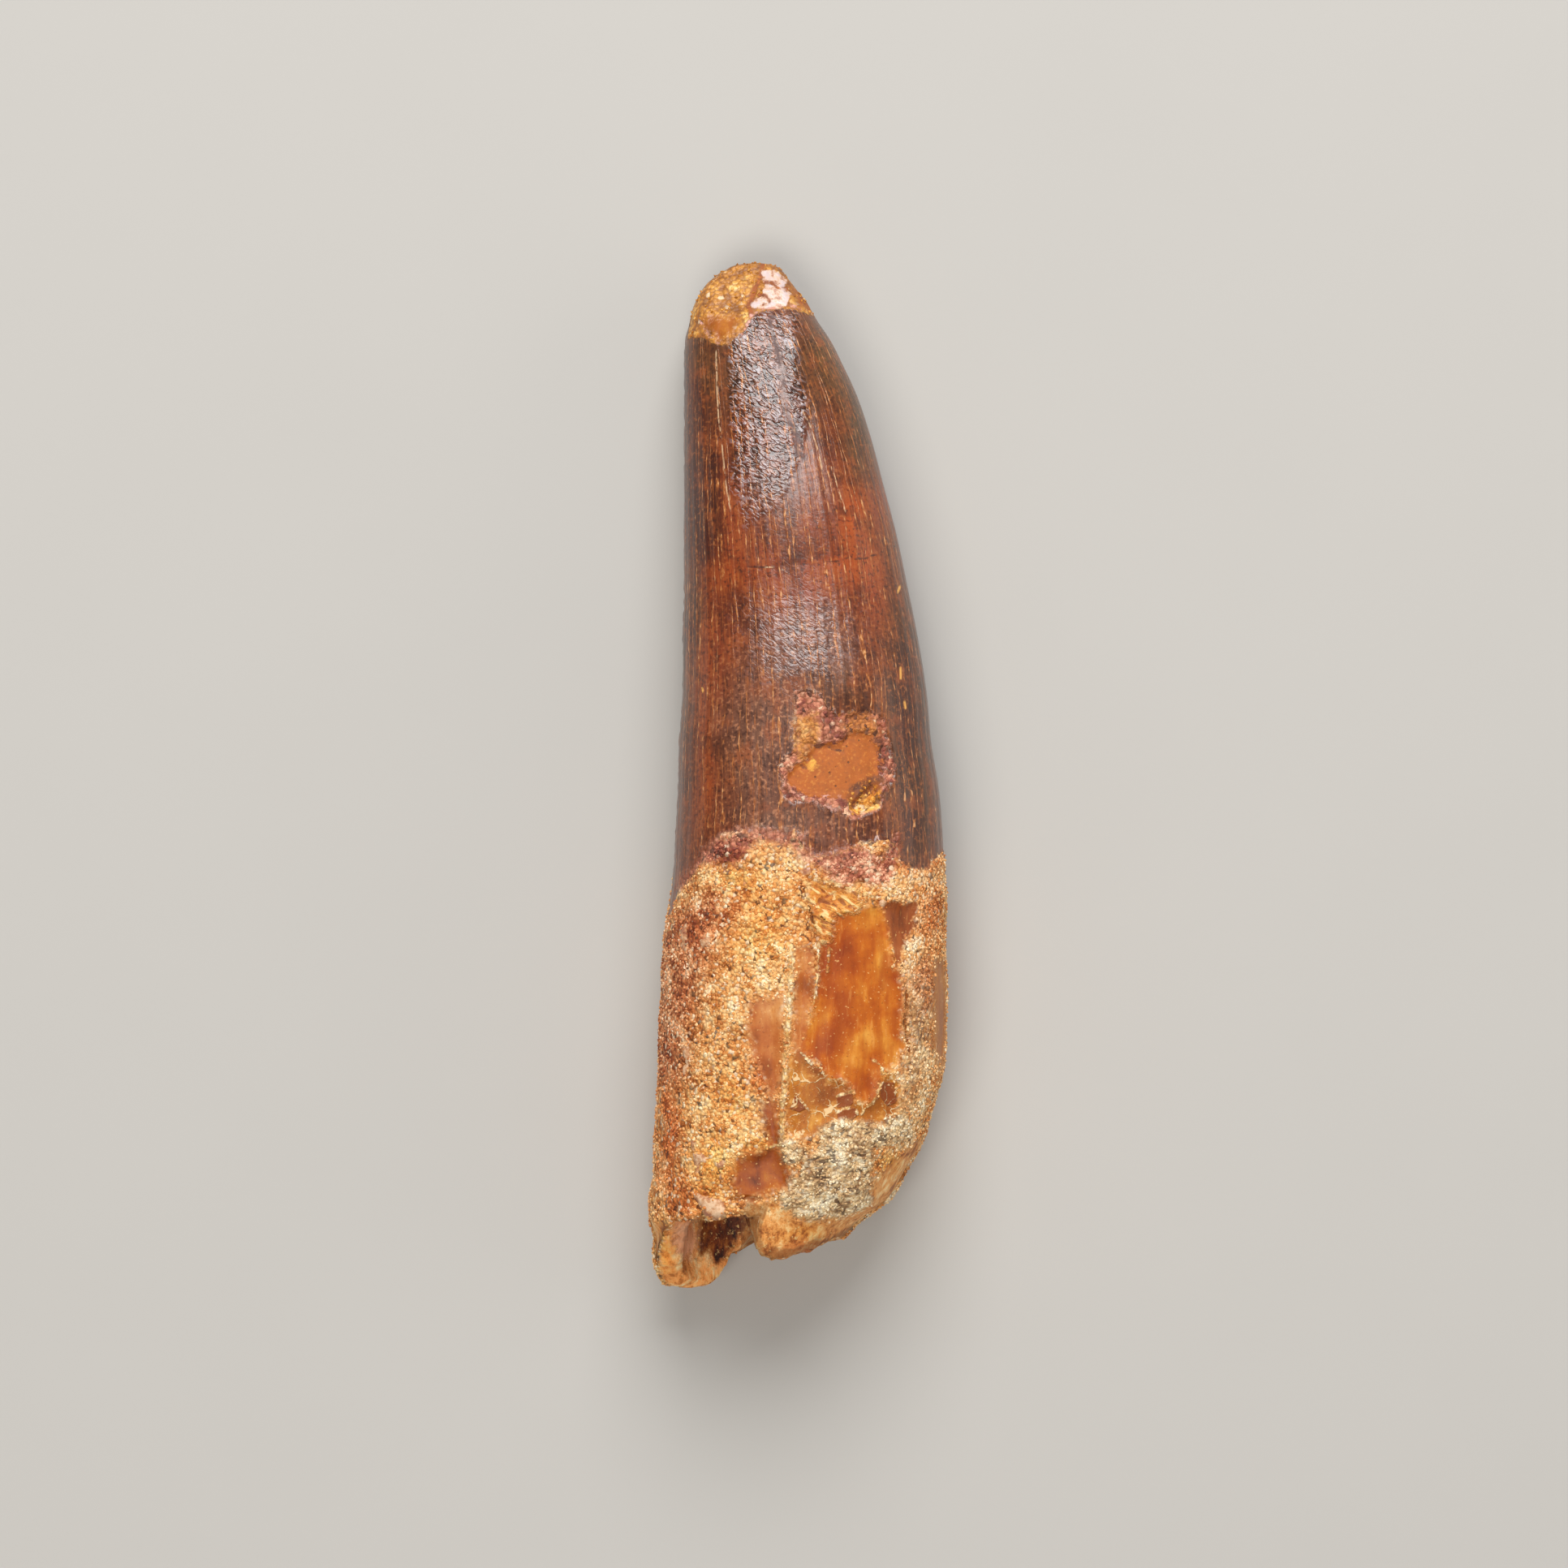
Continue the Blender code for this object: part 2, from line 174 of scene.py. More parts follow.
# Edge of the enamel, from the left margin to the right one, where the crust begins: x and y in turn
CRUST_EDGE = [
    -12, -11.4, -9.9, -11, -9.6, -9.9, -9.2, -9, -8.5, -8.1, -7.5, -7, -6.7, -6.3, -6, -4.8, -4.2, -4.4, -2.7,
    -4.8, -1.2, -5.6, -0.3, -4.4, 0.2, -5.4, 0.9, -6.3, 2.2, -6.5, 3.5, -6, 4.5, -5.6, 6.4, -5.2, 7.8, -5.4,
    8, -6.9, 9.3, -7.4, 10.2, -7.4, 10.4, -6.7, 12, -5.6,
]
UNDER_EDGE_Y = -7.5

# Closed outlines of the zones on the photographed side. Each one is a run of x and y in turn.
OUTLINES = {
    # Broken tip, with its pale flake, its smooth patch and its brown rim
    "break": [[
        -10, 34.1, -7.3, 34.1, -6.5, 33.6, -6, 33.5, -5.4, 33.8, -4.7, 34.4, -4.1, 34.9, -3.8, 35.6, -3.3,
        36.1, -2.4, 36.4, -1.2, 36.5, -0.4, 36.3, 0.3, 36, 1.8, 35.6, 3, 38, 0, 42, -10, 42,
    ]],
    "flake": [[
        -2.9, 39.3, -2, 39.5, -1.2, 39.1, -0.9, 38.6, -1, 38.1, -0.6, 37.6, -0.8, 36.9, -1.2, 36.5, -2.4,
        36.5, -3.4, 36.5, -3.8, 36.8, -3.4, 37.2, -2.9, 37.5, -2.6, 38.2,
    ]],
    "smooth_break": [[
        -7.4, 35.6, -7, 36, -6.5, 35.8, -6.1, 36.1, -5.5, 35.9, -4.9, 36, -4.5, 35.6, -4.8, 35.1, -5.1, 34.6,
        -5.6, 34.4, -6, 33.9, -6.4, 33.9, -6.7, 34.5, -7.3, 34.9,
    ]],
    "tip_rim": [[-1.9, 40, -0.9, 39.2, -0.6, 38.2, -0.4, 37.2, -0.9, 36.6, 2.4, 35.4, 1.6, 38.5]],
    # Patches where the enamel is wrinkled
    "wrinkled": [[
        -3.7, 35.7, -2.4, 36.2, -1.5, 36.3, -0.1, 36, 0.1, 34.9, 0.3, 32, 0.6, 30.1, 0.8, 28.1, 0.9, 26.9,
        0.5, 25, -0.5, 23, -2, 20.2, -4.2, 19.2, -5.2, 22, -5.5, 26.3, -5.5, 30.1, -5.4, 33.3, -4.7, 34.9,
    ]],
    "wrinkled_2": [[-3.7, 12.3, -1.5, 13.3, 1.7, 13.5, 3.6, 12.3, 3.3, 9.8, 1.7, 7.9, -1.5, 7.6, -3.4, 8.8]],
    # Chip in the enamel, with its filler and its pit
    "chip": [[
        -0.2, 6.4, 0.9, 6.5, 1.8, 6.1, 2.1, 5.5, 3, 4.8, 5, 4.7, 6.3, 4.6, 6.7, 4.1, 7.1, 2.7, 7.6, 0.2, 7.5,
        -0.7, 6.6, -1.5, 6.5, -2.7, 5, -3.3, 4.2, -3.6, 3.2, -2.7, 2, -2.5, 1.4, -2.1, -0.3, -2.2, -1.2, -1.7,
        -1.2, -0.2, -1.5, 0.8, -1.1, 1.4, -0.3, 1.8, -0.1, 3, -0.2, 4.3,
    ]],
    "filler": [[
        -1, -0.2, -0.6, 0.3, -0.1, 0.8, 0.5, 1.1, 1, 1.7, 1.3, 2.2, 2.2, 2.5, 3.2, 2.5, 3.8, 3.1, 4.6, 3.4,
        5.3, 3.3, 6, 2.8, 6.5, 1.5, 6.6, -0.1, 6.3, -0.5, 5.7, -0.8, 5.1, -1.2, 4.6, -1.7, 4, -2, 2.3, -1.8,
        0.9, -1.7, 0, -1.3, -0.7, -0.8,
    ]],
    "ochre_chip": [
        [-0.2, 4.4, 1.4, 4.7, 1.7, 3.4, 1.3, 2, 0.8, 1, 0, 1.1, -0.2, 2.5],
        [4.1, 4.7, 5.2, 4.7, 6, 4.3, 6.5, 3.2, 6.3, 1.9, 5.5, 2.9, 4.1, 3.1, 3.6, 3.7],
    ],
    "pit": [[4, -1.9, 4.9, -1.1, 5.7, -0.5, 6.6, -0.5, 6.5, -1.5, 6.4, -2.7, 5.6, -3, 4.6, -3.2, 4, -2.8]],
    # Pink and red sand below the enamel's edge
    "pink": [
        [
            -6.1, -4.8, -5.3, -4.7, -4.5, -4.4, -3, -4.3, -1.4, -4.4, 0.4, -4.8, 0.1, -5.9, -1.1, -5.5, -2.1,
            -5.2, -3, -5.2, -3.7, -5.9, -3.9, -6.5, -4.5, -7.1, -5.5, -7.4, -6.4, -7, -7.4, -7.1, -8.2, -8.1,
            -9, -9.1, -9.4, -9, -8.7, -7.9, -7.8, -6.7, -7.1, -5.8,
        ],
        [
            0.1, -4.8, 0.4, -5.8, 1.7, -6.5, 3, -6.1, 4, -5.6, 5.2, -5.8, 6.5, -6.5, 7.1, -5.5, 7.7, -4.6, 8,
            -5.1, 7.9, -6.5, 7.4, -7.8, 6.8, -8.8, 5.2, -8.8, 4.7, -8.4, 3.6, -9, 2.6, -8.4, 1.7, -7.4, 0.4,
            -6.9, -0.3, -6.2, -0.6, -5.2,
        ],
    ],
    "red_crust": [[
        -11.6, -11.6, -9, -10.4, -6.2, -8.2, -4.8, -9.4, -6.2, -13, -7.2, -16.4, -8.4, -19.8, -8.8, -24,
        -11.8, -24,
    ]],
    # Smooth windows in the crust, where the root's own surface shows
    "amber": [[
        2.8, -10.9, 4.3, -10.7, 5.6, -10.3, 6.8, -10.6, 7.1, -11.8, 7.3, -13.4, 7.2, -14.9, 7.9, -15.8, 8,
        -18.2, 8, -20.3, 8.2, -21.3, 7.6, -22.4, 7.2, -23.3, 6.3, -23.3, 6.2, -24, 6, -25.1, 5.1, -25.7, 4.4,
        -25.4, 4.2, -24.7, 3.4, -23.9, 2.8, -24, 1.7, -23, 0.2, -21.7, 0.3, -21, 0.6, -19.9, 1.1, -18.7, 1.4,
        -17.5, 1.6, -15, 1.7, -13.2, 2.5, -13, 2.7, -11.8,
    ]],
    "flaky": [[
        1, -8.3, 1.9, -8.5, 3, -8.8, 4.6, -9.3, 5, -10, 4.4, -10.8, 3.1, -10.9, 2.7, -11.8, 2.6, -13.1, 1.7,
        -13.2, 1.3, -12.1, 0.9, -10.5, 0.7, -9.3,
    ]],
    "corner": [[6.3, -10.1, 9.3, -10, 8.9, -12.3, 8.2, -13, 7.9, -15, 7.3, -14.4, 6.9, -12.1]],
    "tan_window": [
        [
            -3.7, -17.9, -2.8, -17.5, -1.1, -17.3, -1, -19.4, -1.1, -22, -1.4, -24.5, -2.1, -25.4, -2.6,
            -23.9, -3.5, -22, -3.9, -19.8,
        ],
        [
            -0.2, -13.9, 0.4, -13.4, 1.1, -13.9, 1.2, -15.6, 1.1, -17.5, 0.9, -19.1, 0.5, -21.3, 0.1, -21.9,
            -0.3, -21.3, -0.3, -18.2, -0.2, -15.6,
        ],
    ],
    "shard": [[
        -0.4, -21.6, 0.3, -21.9, 1.7, -23, 3.4, -23.9, 4.3, -24.8, 4.4, -25.5, 5.1, -25.8, 6, -25.2, 6.2,
        -23.9, 7.2, -23.3, 7.7, -24.2, 7.7, -25.8, 6.9, -27.2, 5.8, -27.3, 4.2, -27.1, 2.6, -27.3, 1.7, -27.8,
        0.4, -28.5, -0.7, -28, -0.9, -24.5,
    ]],
    "plate": [
        [3, -25.1, 4.2, -24.8, 4.3, -25.9, 3, -26.2],
        [3, -26.4, 4.4, -26.1, 4.6, -26.7, 4.1, -27.2, 3, -27],
        [6.3, -24.1, 7.4, -24.1, 7.6, -25.7, 6.9, -26, 6.3, -25.2],
        [-0.2, -25.1, 0.7, -26.2, 0.1, -26.5, -0.7, -26.2],
        [4, -22, 6.1, -22, 6.2, -23.9, 5.8, -25.3, 4.5, -25.4, 4.1, -24.2],
    ],
    "brown": [
        [
            -5, -31, -4.4, -30.1, -2.9, -29.5, -1.7, -29.2, -1.1, -30.2, -0.7, -31.3, -0.9, -32.3, -1.8,
            -32.5, -3.1, -33.1, -4.5, -33.3, -4.9, -32.3,
        ],
        [-2.8, -25.7, -1.7, -25.8, -1.5, -27.8, -1.3, -29.2, -2.1, -29.4, -2.5, -27.8],
    ],
    "lobe": [
        [
            -4.2, -33.2, -1.2, -33.4, -0.4, -34.6, 2.4, -34.6, 5, -33.6, 5.9, -31.6, 7.2, -30.2, 9.4, -28.6,
            9.4, -31, 6, -36, 2, -40, -4.4, -40,
        ],
        [-13, -34.4, -9.6, -35.2, -9.2, -37, -9.2, -42, -13, -42],
    ],
    "margin": [[10.5, -14.7, 12, -14.4, 12, -23.9, 11, -23.3, 10.5, -20.7]],
    # Grey-cream sand with the ochre island that joins it, grey sand at the right, and pale flecks
    "grey": [[
        1.7, -27.6, 2.3, -27.4, 3.3, -26.9, 4.2, -27.1, 5.2, -27.2, 6.4, -27.4, 7.1, -27, 8.7, -27.1, 8.7,
        -28.4, 8.4, -28.8, 7.1, -28.9, 5.7, -29.2, 5.7, -30.2, 5.5, -31.6, 5.4, -32.5, 5.7, -33.3, 5.6, -33.7,
        4.9, -34, 3.8, -34.4, 3.1, -34.7, 2.1, -34.4, 1.6, -34.8, -0.2, -34.7, -0.6, -34.1, -1.2, -33.8, -1.3,
        -33, -0.8, -32.5, -0.6, -31.6, 0.1, -31.3, 0.1, -30.9, 0.3, -30.3, -0.5, -30.5, -1.1, -30.4, -1.4,
        -29.6, -1.4, -28.7, -0.5, -28.5, 0.3, -29.2, 0.8, -29.7, 1.6, -29.5, 2, -29, 1.7, -28.4,
    ]],
    "grey_strip": [[
        8.2, -15.4, 10.1, -14.7, 10.3, -18.8, 10.1, -22.6, 8.4, -26.4, 7.7, -26.3, 7.9, -22.6, 8.3, -20.7,
        8.2, -18.2,
    ]],
    "fleck": [
        [0.2, -7.6, 0.6, -7.4, 1, -7.6, 0.8, -8, 0.4, -7.9],
        [0.5, -7.2, 0.9, -6.9, 1, -7.2, 0.7, -7.4],
        [6.2, -10, 6.5, -9.8, 6.8, -10.1, 6.5, -10.5],
        [-8.9, -21.2, -8.4, -21.3, -8.2, -22.1, -8.5, -22.9, -8.8, -22.1],
        [-8.8, -22.7, -8.5, -22.9, -8.6, -23.8, -8.8, -23.4],
        [-8, -29.6, -7.2, -29.6, -6.8, -30.3, -7.3, -30.5, -7.8, -31.4, -7.9, -30.6],
        [-8.2, -28.6, -7.7, -28.7, -7.7, -29.6, -8, -29.5],
        [-9.1, -12.3, -8.6, -11.7, -8.5, -12.5, -8.7, -13.5, -9, -13],
        [-7.6, -13, -6.8, -12.7, -6.6, -13.3, -7.3, -13.6],
        [0.4, -7.5, 0.9, -7.4, 1, -7.8, 0.6, -7.9],
        [-6, -31.3, -5.7, -31.3, -5.7, -32, -5.9, -32],
        [-6.3, -30.4, -5.7, -30.2, -5.6, -30.7, -6.1, -30.9],
        [-8.2, -32.5, -7.3, -33, -5.8, -33.3, -5.6, -34.3, -6.2, -34.7, -7.1, -34.6, -7.7, -33.7],
    ],
}
# Outlines on the floor of the pulp cavity, which shows past the broken edge, and on the hidden side
HOLLOW_OUTLINES = {
    "panel": [[-9.7, -35.1, -8, -35.1, -8, -37.2, -8.6, -38.1, -9.4, -37.7, -9.7, -36.6]],
    "shaded_wall": [[-7.9, -34.7, -3.4, -34.4, -4.5, -36.2, -5.4, -37.5, -6.4, -38.6, -7.1, -37.5, -7.8, -38]],
}
HIDDEN_OUTLINES = {
    "under": [[-1, -13, 3.4, -12.2, 4.4, -16, 3.6, -21, 4.2, -25.4, 1.6, -27.6, -0.8, -24, -2.2, -18.6]],
}

# Lines on the photographed side, as runs of x and y in turn
LINES = {
    # Ridge, flake seams and pale edges of the broken tip
    "tip_ridge": [[-2.7, 40, -2.9, 38.9, -3.3, 38.1, -3.8, 37, -3.8, 36.4, -3.6, 36.1]],
    "seam": [
        [-2.8, 38.6, -2.1, 38.4, -1.5, 38, -0.9, 37.9],
        [-3, 37.6, -2.5, 37.5, -2.2, 37, -2.7, 36.8],
    ],
    "pale_edge": [
        [-7.7, 35.7, -7.4, 34.9, -7, 34.3, -6.2, 33.7],
        [-4.5, 34.4, -4, 35.2, -3.6, 36, -3, 36.4, -2.1, 36.5, -1, 36.7, 0.1, 36.2],
    ],
    # Crack, veins, smooth stripe and yellow streaks of the enamel
    "cross_crack": [[
        -5.6, 16, -4.5, 16.3, -3.1, 16.2, -1.4, 16.1, -0.2, 16.4, 2.8, 16.6, 4.2, 17, 5.1, 16.8, 6.4, 17.3,
        7.7, 17.9,
    ]],
    "vein": [
        [-3.2, 16, -2.3, 16.2, -1.2, 16],
        [-6.5, 33.3, -6.4, 30, -6.3, 28, -5.9, 25.2, -5.6, 22.6, -5.2, 20.4],
        [0.4, 28.4, 1, 27.2, 1.6, 25.2, 1.9, 23.8],
        [2.6, 24, 3.2, 22, 3.7, 20.4],
    ],
    "stripe": [[-2.1, 35.8, -2.1, 34.6, -1.7, 33.6, -1.2, 31.6, -0.9, 28.5, -0.3, 26.9, 0.1, 25]],
    "gilt": [
        [8, 8.3, 8, 7.4],
        [8.3, 5.7, 8.4, 5.1],
        [8, 14.7, 7.8, 14.2],
        [-7.5, 6.7, -7.4, 6.4],
    ],
    # Cracks, painted shadow along the pit's upper edge, and raised lips of the chip
    "chip_crack": [
        [3.3, 4.6, 4.1, 4.5, 4.9, 4.7, 5.6, 4.6],
        [1.4, 2.2, 2.2, 2.3, 2.8, 2, 3.6, 1.9],
        [-1.1, 0.4, 0, 0.8, 0.7, 0.5],
        [3.6, 2.5, 4, 3],
    ],
    "pit_shade": [
        [4.1, -1.8, 4.9, -1.1, 5.9, -0.4, 6.6, -0.5],
        [4.4, -2.2, 5.2, -1.5, 6.2, -0.8],
    ],
    "lip": [
        [1.8, -1.8, 2.8, -1.7, 3.7, -1.6],
        [-1.1, -0.8, -0.2, -1.6, 0.9, -1.8, 1.7, -2.3, 2.6, -2.7, 3.5, -2.8],
        [6.8, 0.6, 6.9, -0.4, 6.6, -1.3],
    ],
    # Sandy ridges, pale cracks, dark lines, streaks and the ledge of the root
    "ridge": [[-0.5, -13.4, -0.6, -17.5, -0.9, -21.3, -1, -23.9, -1.2, -25.8, -1.2, -28.3]],
    "thin_ridge": [
        [1.6, -13.3, 1.5, -15.6, 1.3, -17.7, 1, -18.9],
        [2.4, -13.6, 2.3, -15.6],
        [10.6, -6.9, 11.1, -7.7, 11.3, -9.3, 11.4, -11.5],
        [-6.5, -9.1, -5.2, -8.8],
        [-8.8, -34.9, -7.5, -34.7, -6.5, -34.8, -5.6, -34.4],
    ],
    "dark_line": [
        [0.2, -8.6, 0.5, -9.6, 0.9, -10.7, 1.2, -11.9],
        [1.8, -11.2, 2.1, -11.4],
        [4.4, -8.4, 5.1, -8.4],
        [8.4, -16.3, 8.2, -19.4, 8.5, -21.7],
    ],
    "crack": [
        [1, -8, 2.4, -8.5, 4, -9, 5.4, -9.5, 6.8, -10.2],
        [0.2, -21.8, 1, -22.7, 1.7, -23.1, 2.1, -23.7, 2.7, -24, 3.4, -23.8],
        [5.9, -22.4, 6.4, -23, 6.5, -23.4, 7.2, -23.3],
        [6.5, -24, 6.1, -24.8, 5.7, -25.7, 5.1, -26.2, 4.9, -26.7],
        [3, -25.2, 4.3, -24.8],
        [3, -26.4, 4.4, -26, 4.6, -26.7],
        [-0.3, -24.8, 0.2, -25.5, 0.8, -26.3],
        [-1.4, -29, -2.4, -29.2],
    ],
    "streak": [
        [4, -17.3, 3.5, -18.9, 2.7, -20.5, 1.9, -21.6],
        [2.4, -13.4, 2.6, -15.9],
        [6.9, -14.4, 6.6, -16.6],
    ],
    "ledge": [[-5, -33.3, -4.2, -33.2, -3, -33.3]],
}
# A yellow dot beside the filler: x, y, radius
YELLOW_DOT = (1.1, 0.7, 0.38)

# Soft spots of the enamel's tones: middle x and y, reach across and along, and strength, in turn
TONE_SPOTS = {
    "olive": [
        -8.4, 20, 1.5, 22, 1, 2.4, 33, 2.6, 4, 1, 5.4, 27, 1.7, 7, 1, 7.2, 19.5, 1.7, 7, 1, 9, 9.6, 1.7, 8, 1,
        -8.8, 9, 1.2, 5, 1, 9, -3.6, 1.8, 4.6, 1, -6, 31, 3, 5, 0.55, 8.4, 3.6, 1.8, 5, 0.8,
    ],
    "red": [
        5.6, 21, 2.2, 3.6, 1, -5, 19, 2.4, 4, 0.8, 1.6, 15.4, 5.6, 2.4, 1, -2, 14.2, 2.6, 2.4, 0.7, -6.2,
        23.5, 1.4, 5, 0.6, 5.8, 12.4, 2, 3.6, 0.6, -6.4, 10.4, 1.4, 6, 0.7, -7.4, 2, 1.6, 9, 0.5, 2.4, 22,
        1.4, 4.4, 0.5,
    ],
    "slate": [
        4.6, 25, 0.8, 3.8, 0.6, 5.2, 18.7, 0.8, 3.2, 0.5, -2.2, 3.6, 3.2, 4.2, 0.6, 3.4, 6.6, 2.4, 1.8, 0.6,
        -1.2, -3.4, 3, 1.4, 0.7, -4.6, 0.4, 1.6, 2.6, 0.5, 8, 1.2, 0.8, 3.4, 0.7, -9, 9.6, 0.8, 2.4, 0.9,
    ],
}
# Soft spots of pale, dark red and golden stains on the photographed side, in the same order. On the crown the
# pale spots are partly painted highlight, where the gloss lies, and the dark red ones partly painted shade
# along the flanks and beside the highlights.
STAINS_AND_PAINTED_LIGHT_SPOTS = {
    "cream": [
        -0.7, 35.7, 0.9, 1.9, 0.6, -5.6, -25.8, 1.8, 2.9, 0.5, -9.9, -28.3, 0.8, 3.2, 0.5, 2.4, 9.4, 1.8, 1.9,
        0.7, 2.4, 21.9, 1.3, 1.6, 0.4, -3.6, 22.7, 1.1, 1.6, 0.4, -2, 3.3, 1.3, 1.3, 0.5, -6.4, 3.9, 1.3, 1.3,
        0.4, -8.6, -10.5, 1, 1.1, 0.7, 9.7, -9, 0.9, 1, 0.7, 6.9, -32.7, 1.9, 1.6, 0.8, -8.9, -19.9, 0.9, 1.1,
        0.6, 7.5, -27.1, 1.3, 3.2, 0.7, 4.9, -7.4, 2.3, 1, 0.7, -8.2, -14.4, 0.8, 2.5, 0.6, 0.4, 4.7, 0.9,
        1.7, 0.6, 3, -33.4, 3.8, 1.3, 0.6, 3, -30.2, 1.9, 1.3, 0.3, -2, 1.2, 1.7, 2.9, 0.8, -0.5, -3.4, 5.1,
        0.9, 0.7, 1.7, -4.8, 2.5, 0.8, 0.6, 4.9, -4.8, 1.9, 0.9, 0.5, -2.1, 5.3, 3.8, 3.8, 0.9, 1, 9.8, 4.4,
        3.2, 0.7, -1, 12, 3, 2, 0.4, 1.7, -3.6, 3.2, 1, 0.5, -3.4, -0.4, 2.5, 3.2, 0.6, -1.5, 22.5, 2.5, 3.8,
        0.5, -2.8, 32, 2.5, 3.8, 0.3, 9.3, -12.5, 1.4, 2.5, 0.8, -2.8, -15, 2.2, 2.5, 1, 7.9, -8.4, 2.8, 1.3,
        0.9, -5.3, -28.3, 2.8, 3.2, 0.6, 9.7, -25.2, 1.3, 2.8, 0.7, -9.4, -9.7, 1.1, 0.8, 0.5, 9.3, -12.5,
        1.1, 1.9, 0.5, -4.5, -8.6, 1.9, 1.3, 0.4, -1, -16.6, 1, 1.9, 0.7, -3.4, -33.4, 1.7, 0.8, 0.5,
    ],
    "ember": [
        -4.2, 13.9, 1.5, 2.3, 0.6, 0.5, 16.6, 3.8, 2.2, 0.35, 0.3, 26, 1.5, 2.5, 0.35, -6.3, -36.3, 0.6, 1.9,
        0.6, -8.7, 29.4, 1.2, 2.8, 1, 8.4, 8.2, 1.4, 4.6, 0.9, 9, -4, 1.5, 3.4, 0.9, -7.7, 20, 1.4, 5, 0.9,
        8.9, 2.4, 1.3, 3.4, 0.7, 5.8, -4.4, 1.1, 0.8, 0.5, -0.4, 26.3, 0.6, 1.9, 0.8, 8, -11.5, 1, 1.3, 1,
        -5.3, -6.1, 1.9, 0.8, 0.5, -2.8, -30.2, 0.8, 1, 0.4, -4.4, 13.6, 1.9, 2.2, 0.6, 9.6, -17.2, 0.9, 3.2,
        0.3, -8.2, 27, 0.9, 5, 0.5, 1, -37.7, 2.5, 0.4, 0.6, -8.6, 25, 1.3, 6, 1, -7.2, 22.5, 1.5, 7, 0.8,
        -8.6, 11.1, 0.6, 2.2, 1, -8.2, 1.5, 1.4, 4.4, 0.5, 6.1, 3.4, 1.9, 3.8, 0.3, -7.7, -12.5, 1.7, 2, 0.6,
        -8.6, -17.6, 1, 2, 0.5, -10, -27.7, 0.9, 5.7, 1, -8.7, -33.8, 1.1, 1.5, 0.7, 3.4, -13.9, 1.3, 2.7,
        0.9, -2.9, -23.6, 1, 1.9, 1, 5.1, -24.4, 0.9, 1, 0.7, 7.8, -11.3, 0.9, 0.9, 1, 10.1, -11.2, 0.9, 2.3,
        0.6, 9.4, -16.4, 1.4, 1.7, 0.5, -5, -11.2, 1.3, 0.9, 0.5, 4, -18.2, 0.6, 1.9, 0.6, 2.7, -20.7, 0.6,
        1.3, 0.6, 0.4, -37.2, 3.2, 0.6, 0.5,
    ],
    "gold": [
        4.1, -21.7, 1.6, 1.3, 0.6, 6.8, -20.1, 0.6, 3.8, 0.7, -2.9, -29.2, 1.3, 0.8, 0.8, 4.2, 20.2, 0.9, 2.8,
        0.9, 3.2, 16.1, 2.2, 1, 0.5, -5, 15.4, 2.8, 1.4, 0.5, -7.8, 6.6, 0.5, 3.8, 0.5, 5, 16.8, 0.8, 1.9,
        0.5, -7.3, -0.4, 0.6, 3.2, 0.4, 1, 19, 0.6, 1.9, 0.3, 6.3, -14.4, 0.6, 2.2, 1, 1.9, -19.6, 0.8, 1.7,
        0.9, 5.1, -19.6, 1, 2.5, 0.7, -5.1, -8.5, 2.2, 1.4, 0.7, -3.1, -12.5, 2.5, 2.5, 0.6, -6.6, -30.6, 1.7,
        2.2, 0.9, 7.1, -30.4, 0.9, 0.8, 1, -10.5, -37.2, 0.6, 2.3, 1, -5, -25.2, 1.9, 2.5, 0.6, 0.5, -36, 1.9,
        0.9, 0.6, 3, -9.9, 1.5, 0.8, 1, -7.3, -33.4, 1, 1, 0.6,
    ],
}

# What the mesh stores for its materials, three numbers to a vector
MEASURE_LAYERS = {
    "tones": ("olive", "red", "slate"),
    "stains": ("cream", "ember", "gold"),
    "zones_rim": ("chip_crack", "pit_shade", "lip"),
    "zones_dentine": ("flaky", "margin", "thin_ridge"),
    "zones_shard": ("dark_line", "plate", "rim"),
    "zones_hollow": ("panel", "shaded_wall", "cross_crack"),
    "zones_gilt": ("gilt", "pale_edge", "stripe"),
    "zones_corner": ("corner",),
    "zones_tip": ("break", "flake", "smooth_break"),
    "zones_flake": ("tip_ridge", "seam", "tip_rim"),
    "zones_chip": ("chip", "filler", "pit"),
    "zones_spots": ("ochre_chip", "dot", "fleck"),
    "zones_root": ("crust", "amber", "brown"),
    "zones_bone": ("shard", "lobe", "under"),
    "zones_sand": ("grey", "pink", "red_crust"),
    "zones_lines": ("ridge", "crack", "vein"),
    "zones_streaks": ("streak", "tan_window", "grey_strip"),
}
# Zones of the root where no sand lies
BARE_ZONES = ("amber", "brown", "corner", "tan_window", "shard", "under", "lobe", "flaky", "margin")

# Colours of each kind of sand and bare surface, from dark to light, with their places on a scale of 0 to 1
SAND = [(0.1, "#a65c22"), (0.26, "#ca7e3c"), (0.42, "#e4a05a"), (0.58, "#f0ba78"), (0.76, "#f8d298"),
        (0.95, "#fdecc8")]
RED_SAND = [(0.1, "#6e3218"), (0.3, "#a85a30"), (0.5, "#d68c58"), (0.7, "#f0bc8a"), (0.9, "#fce8c8")]
PINK_SAND = [(0.1, "#52261c"), (0.3, "#8a4232"), (0.5, "#b46a4e"), (0.7, "#d88e6e"), (0.92, "#f2be98")]
GREY_SAND = [(0.1, "#90704c"), (0.26, "#ba9468"), (0.42, "#d8b280"), (0.58, "#eccc98"), (0.8, "#fbecca")]
CREAM_SAND = [(0.1, "#c08844"), (0.4, "#e6bc7c"), (0.7, "#f8dcaa"), (0.95, "#fff4dc")]
OCHRE_GRIT = [(0.1, "#7c4420"), (0.35, "#b46a2a"), (0.6, "#cc843a"), (0.9, "#e8b06a")]
PIT_GRIT = [(0.1, "#a85a10"), (0.4, "#e08e28"), (0.7, "#f8b850"), (0.95, "#fcdc90")]
SUGAR = [(0.1, "#844e10"), (0.3, "#a8681a"), (0.5, "#c07e28"), (0.7, "#da9a3c"), (0.92, "#f4cc80")]
